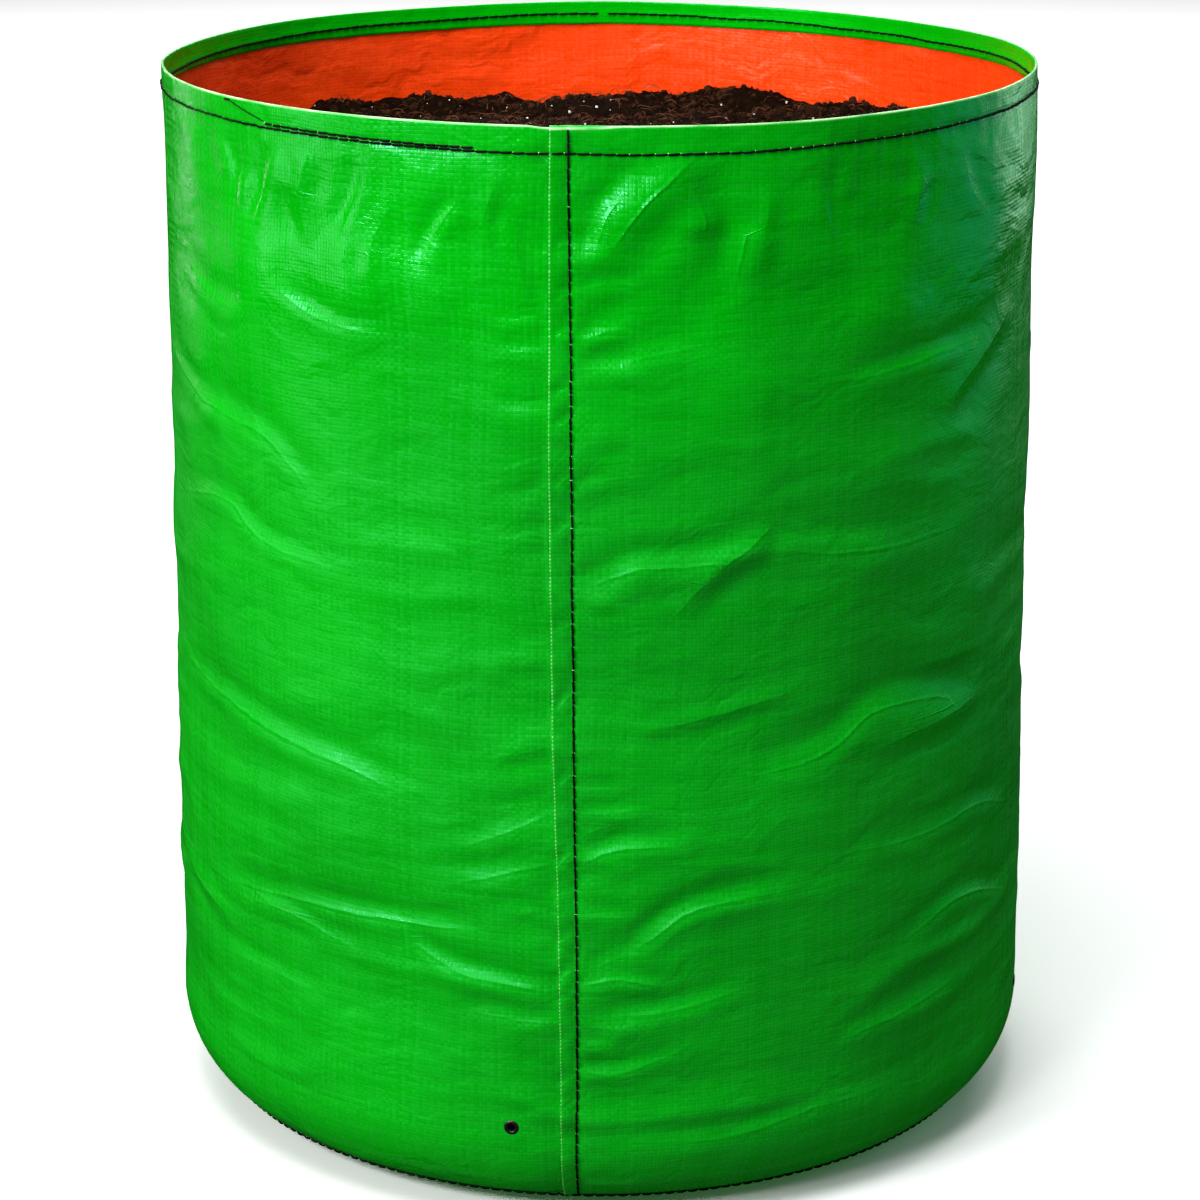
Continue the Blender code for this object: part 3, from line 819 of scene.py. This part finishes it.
def wall_mesh(outer, inner, uv, crest, nominal, paths):
    """Joins the two skins of the wall sheet. The inner one keeps one row in four where it is plain."""
    count, columns = outer.shape[:2]
    eye_rows = [i for i, p in enumerate(paths) if abs(p - EYE_PATH) < 1.5 * EYE_CELL]
    kept = sorted(set(range(0, len(paths), 4)) | set(eye_rows) | set(range(len(paths) - RIM_ROWS, count)))
    position = {row: i for i, row in enumerate(kept)}
    start = count * columns
    clear = inner.copy()
    reach = np.hypot(inner[..., 0], inner[..., 1])
    for before, row, after in zip([0] + kept, kept, kept[1:]):
        if FOOT_ROWS < row < len(paths) - RIM_ROWS:
            least = reach[before:after + 1].min(axis=0)
            clear[row, :, :2] = inner[row, :, :2] * np.minimum(least / reach[row], 1)[:, None]
    points = np.concatenate([outer.reshape(-1, 3), clear[kept].reshape(-1, 3)])
    uvs = np.concatenate([uv.reshape(-1, 2), uv[kept].reshape(-1, 2)])
    crests = np.concatenate([crest.reshape(-1, 2), crest[kept].reshape(-1, 2)])

    def eye_columns(j):
        reach = 1.2 * EYE_CELL / BELLY
        return any(abs(math.remainder(nominal[j] - eye, math.tau)) < reach for eye in EYE_NOMINAL)

    marked = [eye_columns(j) for j in range(columns)]
    faces = []
    kinds = []
    for kind, rows, first in ((0, range(count), 0), (1, kept, start)):
        for k in range(len(rows) - 1):
            at_eye = rows[k] in eye_rows and rows[k + 1] in eye_rows
            for j in range(columns - 1):
                if at_eye and marked[j] and marked[j + 1]:
                    continue
                a = first + k * columns + j
                above = a + columns
                faces.append((a, a + 1, above + 1, above) if kind else (a, above, above + 1, a + 1))
                kinds.append(kind)
    for k in range(len(kept) - 1):
        for j, forward in ((0, True), (columns - 1, False)):
            strip = [row * columns + j for row in range(kept[k], kept[k + 1] + 1)]
            ring = strip[::-1] + [start + k * columns + j, start + (k + 1) * columns + j]
            faces.append(tuple(ring if forward else ring[::-1]))
            kinds.append(2)
    for row, forward in ((0, True), (count - 1, False)):
        k = position[row]
        for j in range(columns - 1):
            a = row * columns + j
            b = start + k * columns + j
            quad = (a, a + 1, b + 1, b)
            faces.append(quad if forward else quad[::-1])
            kinds.append(2)
    middle = eye_rows[len(eye_rows) // 2]
    for j in range(1, columns - 1):
        if not (marked[j - 1] and marked[j] and marked[j + 1]):
            continue
        ring = [(-1, -1), (0, -1), (1, -1), (1, 0), (1, 1), (0, 1), (-1, 1), (-1, 0)]
        for (i0, j0), (i1, j1) in zip(ring, ring[1:] + ring[:1]):
            a = (middle + i0) * columns + j + j0
            b = (middle + i1) * columns + j + j1
            c = start + position[middle + i1] * columns + j + j1
            d = start + position[middle + i0] * columns + j + j0
            faces.append((a, b, c, d))
            kinds.append(2)
    return mesh_piece("side_panel_sheet", points, faces, [GREEN, ORANGE, EDGE], kinds, uvs, crests)


wall = wall_piece()
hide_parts("side_panel")


# ---------------------------------------------------------------- the base panel
def base_piece():
    """The round base: flat on the floor, with its edge turned up inside the wall's tucked end."""
    flat = list(np.linspace(0, 1, 26)[:-1] * (FOOT_R - 1 * MM))
    angles = np.linspace(0, TURN_UP, 18)
    columns = 180
    turn = np.arange(columns) / columns * math.tau
    skins = []
    for inward in (0.0, SHEET):
        rings = []
        for radius in flat:
            wave = noise(radius / (30 * MM) + 0 * turn, turn / math.tau * 8 + 3, 51)
            sag = 0.5 * MM * (1 + wave) * (radius > 0)
            rings.append(place(radius + 0 * turn, turn, 0.1 * MM + inward + sag))
        for angle in angles:
            reach = FOOT_Z - 0.1 * MM - ease(5, 17, math.degrees(angle)) * (FOOT_Z - 0.1 * MM - FOOT + LAYER)
            reach = reach - inward
            rings.append(place(FOOT_R + reach * math.sin(angle) + 0 * turn, turn,
                               FOOT_Z - reach * math.cos(angle) + 0 * turn))
        skins.append(np.array(rings))
    rows = len(skins[0])
    points = np.concatenate([skin.reshape(-1, 3) for skin in skins])
    faces = grid_faces(rows, columns, 0, flip=True, closed=True)
    kinds = [0] * len(faces)
    upper = grid_faces(rows, columns, rows * columns, closed=True)
    faces += upper
    kinds += [1] * len(upper)
    for j in range(columns):
        k = (j + 1) % columns
        a = (rows - 1) * columns
        b = (2 * rows - 1) * columns
        faces.append((a + k, a + j, b + j, b + k))
        kinds.append(2)
    no_crests = np.tile((NO_CREST, 0.0), (len(points), 1))
    piece = mesh_piece("base_panel_sheet", points, faces, [GREEN, ORANGE, EDGE], kinds,
                       points[:, :2], no_crests)
    weld(piece)
    return piece


def weld(piece):
    """Merges points that lie on each other, such as a grid's row at its centre."""
    work = bmesh.new()
    work.from_mesh(piece.data)
    bmesh.ops.remove_doubles(work, verts=work.verts, dist=1e-7)
    bmesh.ops.dissolve_degenerate(work, edges=work.edges, dist=1e-8)
    bmesh.ops.recalc_face_normals(work, faces=work.faces)
    work.to_mesh(piece.data)
    work.free()


base = base_piece()
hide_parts("base_panel")


# ---------------------------------------------------------------- thread
def tube(line, radius, sides, start):
    """Points and faces of a tube with round ends along a line of points."""
    line = np.asarray(line)
    ahead = np.gradient(line, axis=0)
    ahead = ahead / np.linalg.norm(ahead, axis=1)[:, None]
    helper = np.array([0.0, 0.0, 1.0]) if abs(ahead[0][2]) < 0.8 else np.array([1.0, 0.0, 0.0])
    points = []
    count = len(line)
    for i in range(count):
        u = np.cross(ahead[i], helper)
        u = u / np.linalg.norm(u)
        v = np.cross(ahead[i], u)
        size = radius * (0.55 if i in (0, count - 1) else 1.0)
        for k in range(sides):
            a = math.tau * k / sides
            points.append(line[i] + size * (math.cos(a) * u + math.sin(a) * v))
    faces = [tuple(range(start, start + sides))]
    for i in range(count - 1):
        for k in range(sides):
            n = (k + 1) % sides
            a = start + i * sides
            faces.append((a + k, a + sides + k, a + sides + n, a + n))
    end = start + (count - 1) * sides
    faces.append(tuple(range(end + sides - 1, end - 1, -1)))
    return points, faces


def sew(name, locate, length, seed, pitch=STITCH, gap=0.12 * MM, size=THREAD):
    """Single stitches along a line on the sheet. locate(run) gives points and the sheet's normal there."""
    draw = np.random.default_rng(seed)
    count = max(1, round(length / pitch))
    pitch = length / count
    points = []
    faces = []
    holes = []
    shape = np.array([-0.15, 0.33, 0.5, 0.58, 0.6, 0.58, 0.5, 0.33, -0.15]) * size
    starts = np.arange(count) * pitch
    within = np.linspace(gap / 2, pitch - gap / 2, len(shape))
    runs = starts[:, None] + within + draw.normal(0, 0.1 * MM, (count, 1))
    where_all, normal_all = locate(np.clip(runs, 0, length).ravel())
    where_all = where_all.reshape(count, -1, 3)
    normal_all = normal_all.reshape(count, -1, 3)
    for where, normal in zip(where_all, normal_all):
        side = np.cross(normal, np.gradient(where, axis=0))
        side = side / np.linalg.norm(side, axis=1)[:, None]
        slant = (np.linspace(-1, 1, len(shape)) * 0.16 * MM + draw.normal(0, 0.06 * MM))[:, None]
        line = where + normal * shape[:, None] + side * slant
        made, skin = tube(line, size / 2 * draw.uniform(0.92, 1.08), 6, len(points))
        points += made
        faces += skin
        holes.append((where[0] - (where[1] - where[0]) * 0.6, normal[0], side[0]))
    piece = mesh_piece(name, points, faces, [BLACK_THREAD])
    return piece, holes


def lips(name, holes, seed, share):
    """The sheet's pale lips beside the needle's holes: stretched, whitened plastic, with a painted glint
    where it catches the light.
    """
    draw = np.random.default_rng(seed)
    points = []
    faces = []
    for centre, normal, side in holes:
        if draw.random() > share:
            continue
        ahead = np.cross(side, normal)
        wide = draw.uniform(0.55, 0.95) * MM
        long = draw.uniform(0.3, 0.5) * MM
        tall = draw.uniform(0.3, 0.5) * MM
        start = len(points)
        rings = 4
        sides = 8
        sunk = 0.12 * MM
        for level in range(rings):
            angle = level / rings * math.pi / 2
            for k in range(sides):
                a = math.tau * k / sides
                reach = math.cos(angle)
                points.append(centre + side * wide * reach * math.cos(a) + ahead * long * reach * math.sin(a)
                              + normal * (tall * math.sin(angle) - sunk))
        top = len(points)
        points.append(centre + normal * (tall - sunk))
        faces.append(tuple(range(start, start + sides)))
        for level in range(rings - 1):
            for k in range(sides):
                n = (k + 1) % sides
                a = start + level * sides
                faces.append((a + n, a + k, a + sides + k, a + sides + n))
        last = start + (rings - 1) * sides
        for k in range(sides):
            faces.append((top, last + (k + 1) % sides, last + k))
    piece = mesh_piece(name, points, faces, [PRICKED])
    weld(piece)
    return piece


def on_sheet(bearing, path, inward):
    """Points and normals on the wall at real bearings and distances along its section."""
    r, z, nr, nz = face(bearing, path, inward)
    normal = place(nr, bearing, nz)
    return place(r, bearing, z), normal


def layers_under(bearing):
    """How far inside the plain wall the hem's inmost face lies: more where the lap's layers add up."""
    left = ease(math.radians(-9), math.radians(-6), bearing)
    near = left * (1 - ease(math.radians(-0.5), math.radians(3.5), bearing))
    return LAYER * (1 + 2 * near) + SHEET


def hem_line(inward):
    """The hem's line of stitches for sew, from the back round to the left."""

    def locate(run):
        bearing = math.pi - 0.02 - run / RIM
        near = half_turn(bearing)
        depth = hem_stitch_depth(near) + 0.35 * MM * noise(run / (26 * MM), 0 * run, 61)
        path = TOP_RUN - depth
        where, normal = on_sheet(near, path, layers_under(near) if inward else 0.0)
        return where, -normal if inward else normal
    return locate


def second_row(run):
    """The short second row where the hem was begun and fastened off, left of the seam."""
    bearing = math.radians(-45) + run / RIM
    share = run / (RIM * math.radians(30))
    depth = hem_stitch_depth(bearing) - (2.0 - 0.5 * share) * MM
    return on_sheet(bearing, TOP_RUN - depth, 0.0)


def jump_stitch(run):
    """The loose thread from the tack under the rim down to the second row."""
    share = run / (33 * MM)
    bearing = np.radians(-52.6 + 7.4 * share)
    depth = 1.5 * MM + share * 8.2 * MM
    return on_sheet(bearing, TOP_RUN - depth, -0.3 * MM)


def tack(run):
    """The knot that ends the loose thread, just under the rim."""
    bearing = np.radians(-53.3) + run / RIM
    return on_sheet(bearing, TOP_RUN - 1.8 * MM + 0 * run, 0.0)


LAP_START = FOOT * math.radians(20)
LAP_RUN = TOP_RUN - 2 * MM - LAP_START


def lap_line(inward):
    """The lap seam's line of stitches for sew, from the foot up."""

    def locate(run):
        path = LAP_START + run
        height = height_at(path)
        bearing = seam_bearing(height, 2) + np.radians(0.05) * noise(run / (40 * MM), 0 * run, 62)
        in_hem = ease(HEIGHT - 17.5 * MM, HEIGHT - 16.5 * MM, height)
        inside = LAYER + SHEET + in_hem * 2 * LAYER
        where, normal = on_sheet(bearing, path, inside if inward else 0.0)
        return where, -normal if inward else normal
    return locate


SEAM_ANGLE = math.radians(36)  # the foot seam's place round the foot, from straight down
SEAM_RADIUS = FOOT_R + FOOT * math.sin(SEAM_ANGLE)


def base_line(inward):
    """The foot seam's line of stitches for sew."""

    def locate(run):
        bearing = math.pi - run / SEAM_RADIUS
        near = half_turn(bearing)
        path = FOOT * (SEAM_ANGLE - TUCK) + 0 * run
        where, normal = on_sheet(near, path, LAYER + SHEET if inward else 0.0)
        return where, -normal if inward else normal
    return locate


RIM_LENGTH = math.tau * RIM
hem_out, hem_holes = sew("hem_stitches_outside", hem_line(False), RIM_LENGTH - 6 * MM, 71)
hem_in, _ = sew("hem_stitches_inside", hem_line(True), RIM_LENGTH - 6 * MM, 72)
_, row_holes = sew("hem_second_row", second_row, RIM * math.radians(30), 73)
sew("hem_jump_thread", jump_stitch, 33 * MM, 74, pitch=33 * MM, size=0.6 * MM)
sew("hem_tack", tack, 4.4 * MM, 79, pitch=1.5 * MM, gap=0.1 * MM, size=1.1 * MM)
lap_out, lap_holes = sew("side_seam_stitches_outside", lap_line(False), LAP_RUN, 75)
lap_in, _ = sew("side_seam_stitches_inside", lap_line(True), LAP_RUN, 76)
base_out, _ = sew("base_seam_stitches_outside", base_line(False), math.tau * SEAM_RADIUS, 77)
base_in, _ = sew("base_seam_stitches_inside", base_line(True), math.tau * SEAM_RADIUS, 78)
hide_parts("hem_stitch_outer")
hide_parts("hem_stitch_inner")
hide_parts("side_seam_stitch_outer")
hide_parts("side_seam_stitch_inner")
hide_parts("base_seam_stitch_outer")
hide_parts("base_seam_stitch_inner")
hole_lips = [lips("hem_needle_lips", hem_holes + row_holes, 81, 0.75),
             lips("side_seam_needle_lips", lap_holes, 82, 0.9)]


# ---------------------------------------------------------------- eyelets
def turned(name, profile, centre_path, bearing, inward):
    """A ring turned from a closed profile of (radius, outward) points, in mm, set square on the sheet."""
    where, normal = on_sheet(np.array([bearing]), np.array([centre_path]), inward)
    centre = where[0]
    axis = normal[0]
    side = np.cross(axis, [0, 0, 1.0])
    up = np.cross(side, axis)
    sides = 64
    points = []
    for k in range(sides):
        a = math.tau * k / sides
        spoke = math.cos(a) * side + math.sin(a) * up
        for radius, out in profile:
            points.append(centre + spoke * radius * MM + axis * out * MM)
    rows = len(profile)
    faces = []
    for k in range(sides):
        n = (k + 1) % sides
        for i in range(rows):
            m = (i + 1) % rows
            faces.append((k * rows + i, n * rows + i, n * rows + m, k * rows + m))
    piece = mesh_piece(name, points, faces, [BLACK_METAL])
    weld(piece)
    return piece


def rounded(points):
    """A closed profile with its corners rounded by corner cutting."""
    line = [np.array(p, dtype=float) for p in points]
    for _ in range(2):
        cut = []
        for a, b in zip(line, line[1:] + line[:1]):
            cut += [a * 0.75 + b * 0.25, a * 0.25 + b * 0.75]
        line = cut
    return [tuple(p) for p in line]


EYELET_PROFILE = rounded([(2.0, -1.75), (2.0, 0.25), (2.45, 0.8), (3.3, 0.85), (4.15, 0.35), (4.2, 0.04),
                          (3.2, 0.08), (2.42, 0.03), (2.4, -1.75)])
WASHER_PROFILE = rounded([(2.46, -1.45), (2.46, -0.95), (4.3, -0.9), (4.45, -1.1), (3.6, -1.5), (3.0, -1.6)])
for number, eye in enumerate(EYELET_BEARINGS, start=1):
    ring = turned(f"eyelet_ring_{number}", EYELET_PROFILE, EYE_PATH, eye, -0.1 * MM)
    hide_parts(f"eyelet_{number}")
    washer = turned(f"eyelet_back_{number}", WASHER_PROFILE, EYE_PATH, eye, -0.1 * MM)
    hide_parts(f"eyelet_washer_{number}")


# ---------------------------------------------------------------- potting mix
# Heaps that stand against the back wall: (x, y, how high), in metres.
HEAPS = [(-0.158, 0.160, 0.009), (-0.107, 0.198, 0.008), (-0.03, 0.205, 0.003), (0.0, 0.215, 0.006),
         (0.088, 0.200, 0.006), (0.14, 0.165, 0.003), (-0.19, 0.05, 0.005), (0.1, -0.12, 0.006)]


def mix_height(x, y):
    """Height of the mix's surface: low heaps, then clods, then grains."""
    out = MIX_LEVEL + 0 * x
    out = out + 6.0 * MM * noise(x / 0.085, y / 0.085, 91)
    out = out + 5.0 * MM * noise(x / 0.034, y / 0.034, 92)
    for heap_x, heap_y, high in HEAPS:
        out = out + high * bell(np.hypot(x - heap_x, y - heap_y), 0.024)
    clod = 1 - np.abs(noise(x / 0.013, y / 0.013, 93))
    out = out + 3.4 * MM * (clod ** 2 - 0.4)
    grain = 1 - np.abs(noise(x / 0.0055, y / 0.0055, 94))
    out = out + 1.6 * MM * (grain ** 2 - 0.4)
    return out + 2.5 * MM * ease(0.2, 0.242, np.hypot(x, y)) * noise(x / 0.02, y / 0.02, 95)


def mix_piece():
    """The body of the mix: a closed solid a little inside the wall, with the surface above."""
    columns = 500
    turn = np.arange(columns) / columns * math.tau
    rings = []
    gap = 7 * MM
    for angle in np.linspace(0.02, math.pi / 2, 8):
        reach = FOOT - gap
        radius = FOOT_R + reach * math.sin(angle) + 0 * turn
        rings.append(place(radius, turn, FOOT_Z - reach * math.cos(angle) + 0 * turn))
    for height in np.linspace(0.08, MIX_LEVEL - 22 * MM, 12):
        rings.append(place(wall_radius(height) - gap + 0 * turn, turn, height + 0 * turn))
    path = FOOT_RUN + MIX_LEVEL - FOOT_Z + 0 * turn
    edge_r, _, _, _ = face(half_turn(turn), path, SHEET)
    near_lap = bell(half_turn(turn + math.radians(4)), math.radians(6))
    edge_r = edge_r - 0.5 * MM - 1.6 * MM * near_lap
    for share in np.linspace(1, 0, 110) ** 0.9:
        radius = edge_r * share
        x = radius * np.sin(turn)
        y = -radius * np.cos(turn)
        rings.append(place(radius, turn, mix_height(x, y)))
    rings = np.array(rings)
    faces = grid_faces(len(rings), columns, 0, flip=True, closed=True)
    faces.append(tuple(range(columns)))
    piece = mesh_piece("potting_mix_body", rings.reshape(-1, 3), faces, [MIX])
    weld(piece)
    return piece


ICO = (1 + 5 ** 0.5) / 2
ICO_POINTS = np.array([(-1, ICO, 0), (1, ICO, 0), (-1, -ICO, 0), (1, -ICO, 0), (0, -1, ICO), (0, 1, ICO),
                       (0, -1, -ICO), (0, 1, -ICO), (ICO, 0, -1), (ICO, 0, 1), (-ICO, 0, -1), (-ICO, 0, 1)])
ICO_POINTS = ICO_POINTS / np.linalg.norm(ICO_POINTS[0])
ICO_FACES = [(0, 11, 5), (0, 5, 1), (0, 1, 7), (0, 7, 10), (0, 10, 11), (1, 5, 9), (5, 11, 4), (11, 10, 2),
             (10, 7, 6), (7, 1, 8), (3, 9, 4), (3, 4, 2), (3, 2, 6), (3, 6, 8), (3, 8, 9), (4, 9, 5),
             (2, 4, 11), (6, 2, 10), (8, 6, 7), (9, 8, 1)]


def scatter_spot(draw, margin):
    """A random spot on the mix, at least margin inside the rim."""
    radius = (RIM - 3 * MM - margin) * math.sqrt(draw.random())
    turn = draw.uniform(0, math.tau)
    return radius * math.sin(turn), -radius * math.cos(turn)


def lumps(name, material, count, small, large, seed, sink):
    """Loose angular grains lying in the surface of the mix."""
    draw = np.random.default_rng(seed)
    points = []
    faces = []
    spots = np.array([scatter_spot(draw, large) for _ in range(count)])
    heights = mix_height(spots[:, 0], spots[:, 1])
    for (x, y), ground in zip(spots, heights):
        size = small + (large - small) * draw.random() ** 3
        stretch = draw.uniform(0.6, 1.25, 3) * size
        spin = np.linalg.qr(draw.normal(size=(3, 3)))[0]
        if np.linalg.det(spin) < 0:
            spin[:, 0] = -spin[:, 0]
        shape = ICO_POINTS * draw.uniform(0.72, 1.25, (12, 1)) * stretch
        z = ground + size * sink
        start = len(points)
        points += list(shape @ spin.T + [x, y, z])
        faces += [(a + start, b + start, c + start) for a, b, c in ICO_FACES]
    piece = mesh_piece(name, points, faces, [material], smooth=False)
    return piece


def strands(name, count, seed):
    """Short fibres lying on the mix."""
    draw = np.random.default_rng(seed)
    points = []
    faces = []
    for _ in range(count):
        x, y = scatter_spot(draw, 14 * MM)
        length = draw.uniform(3, 15) * MM
        heading = draw.uniform(0, math.tau)
        curl = draw.normal(0, 70)
        line = []
        steps = 9
        for i in range(steps):
            line.append((x, y))
            x += length / steps * math.cos(heading)
            y += length / steps * math.sin(heading)
            heading += curl * length / steps + draw.normal(0, 0.14)
        line = np.array(line)
        z = mix_height(line[:, 0], line[:, 1])
        z = z * 0.35 + z.mean() * 0.65 + draw.uniform(0.4, 2.4) * MM
        z = z + np.sin(np.linspace(0, 3, steps)) * draw.uniform(0, 3) * MM
        made, skin = tube(np.column_stack([line, z]), draw.uniform(0.1, 0.22) * MM, 4, len(points))
        points += made
        faces += skin
    piece = mesh_piece(name, points, faces, [FIBRE])
    return piece


mix = mix_piece()
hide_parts("growing_mix")
thin = 1.0
lumps("potting_mix_crumbs", CRUMB, int(8600 * thin), 0.5 * MM, 2.9 * MM, 101, 0.1)
lumps("potting_mix_clods", MIX, int(420 * thin), 2.0 * MM, 5.5 * MM, 102, -0.15)
lumps("potting_mix_perlite", PERLITE, int(260 * thin), 0.5 * MM, 1.3 * MM, 103, 0.5)
strands("potting_mix_fibres", int(1500 * thin), 104)

for piece in list(bpy.context.scene.objects):
    if piece.type == "MESH" and piece.name not in frame["nodes"]:
        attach(piece, "root")


# ---------------------------------------------------------------- floor, light and camera
def floor_piece():
    """A pale square just under the bag."""
    net = Net("pale_floor")
    where = net.node("ShaderNodeTexCoord", {}, output=3)
    patch = net.noise(where, 1.4, 2.0)
    base_colour = net.colour(patch, (0.86, 0.86, 0.86), (0.9, 0.9, 0.9))
    relief = net.bump(net.noise(where, 240.0), 0.0002, 0.2)
    net.finish(base=base_colour, rough=0.75, normal=relief, specular=0.2)
    size = 9.0
    corners = [(-size, -size, -0.0002), (size, -size, -0.0002), (size, size, -0.0002), (-size, size, -0.0002)]
    return mesh_piece("floor", corners, [(0, 1, 2, 3)], [net.material], smooth=False)


def softbox(name, location, target, size, power, colour=(1, 1, 1)):
    """A rectangular lamp at location that faces target."""
    light = bpy.data.lights.new(name, "AREA")
    light.shape = "RECTANGLE"
    light.size, light.size_y = size
    light.energy = power
    light.color = colour
    lamp = bpy.data.objects.new(name, light)
    lamp.location = location
    direction = np.array(target) - np.array(location)
    flat = math.hypot(direction[0], direction[1])
    lamp.rotation_euler = (math.atan2(flat, -direction[2]), 0, math.atan2(-direction[0], direction[1]))
    bpy.context.scene.collection.objects.link(lamp)


floor = floor_piece()
floor.visible_glossy = False  # the film mirrors the lamps only, as the photo's does
floor.visible_diffuse = False  # and its folds stay dark below
softbox("key", (-1.75, -1.35, 1.45), (0, 0, 0.35), (0.8, 0.8), 47)
softbox("front_left", (-0.95, -1.9, 1.5), (0, 0, 0.35), (0.45, 0.45), 15)
softbox("left_strip", (-1.9, -0.45, 0.62), (0, 0, 0.45), (0.45, 0.9), 4)
softbox("top", (-0.1, -0.6, 2.2), (0, 0.15, 0.55), (1.0, 1.0), 34)
softbox("right_card", (1.55, 1.35, 0.46), (0.2, -0.1, 0.5), (0.9, 0.5), 2.6, (0.6, 1.0, 0.75))
softbox("teal_card", (1.9, 0.5, 0.6), (0.2, -0.1, 0.4), (0.9, 1.1), 2.2, (0.05, 0.75, 0.8))
softbox("left_card", (-1.6, 1.3, 0.4), (-0.2, -0.1, 0.4), (0.08, 0.6), 1.0)
softbox("back_wash", (0, 3.4, 2.6), (0, 2.2, 0), (5.0, 2.4), 185)

world = bpy.data.worlds.new("studio")
world.use_nodes = True
world.node_tree.nodes["Background"].inputs[0].default_value = (1, 1, 1, 1)
world.node_tree.nodes["Background"].inputs[1].default_value = 0.34
bpy.context.scene.world = world
world.cycles_visibility.glossy = False

# The camera that was fitted to the bag's outline in the photo, without lens shift.
camera = bpy.data.cameras.new("camera")
camera.sensor_width = 36
camera.lens = 102.39
eye_point = bpy.data.objects.new("camera", camera)
eye_point.location = (0, -1.949, 0.8857)
eye_point.rotation_euler = (math.pi / 2 - 0.299, 0, 0)
bpy.context.scene.collection.objects.link(eye_point)
bpy.context.scene.camera = eye_point
bpy.context.scene.view_settings.view_transform = "Standard"
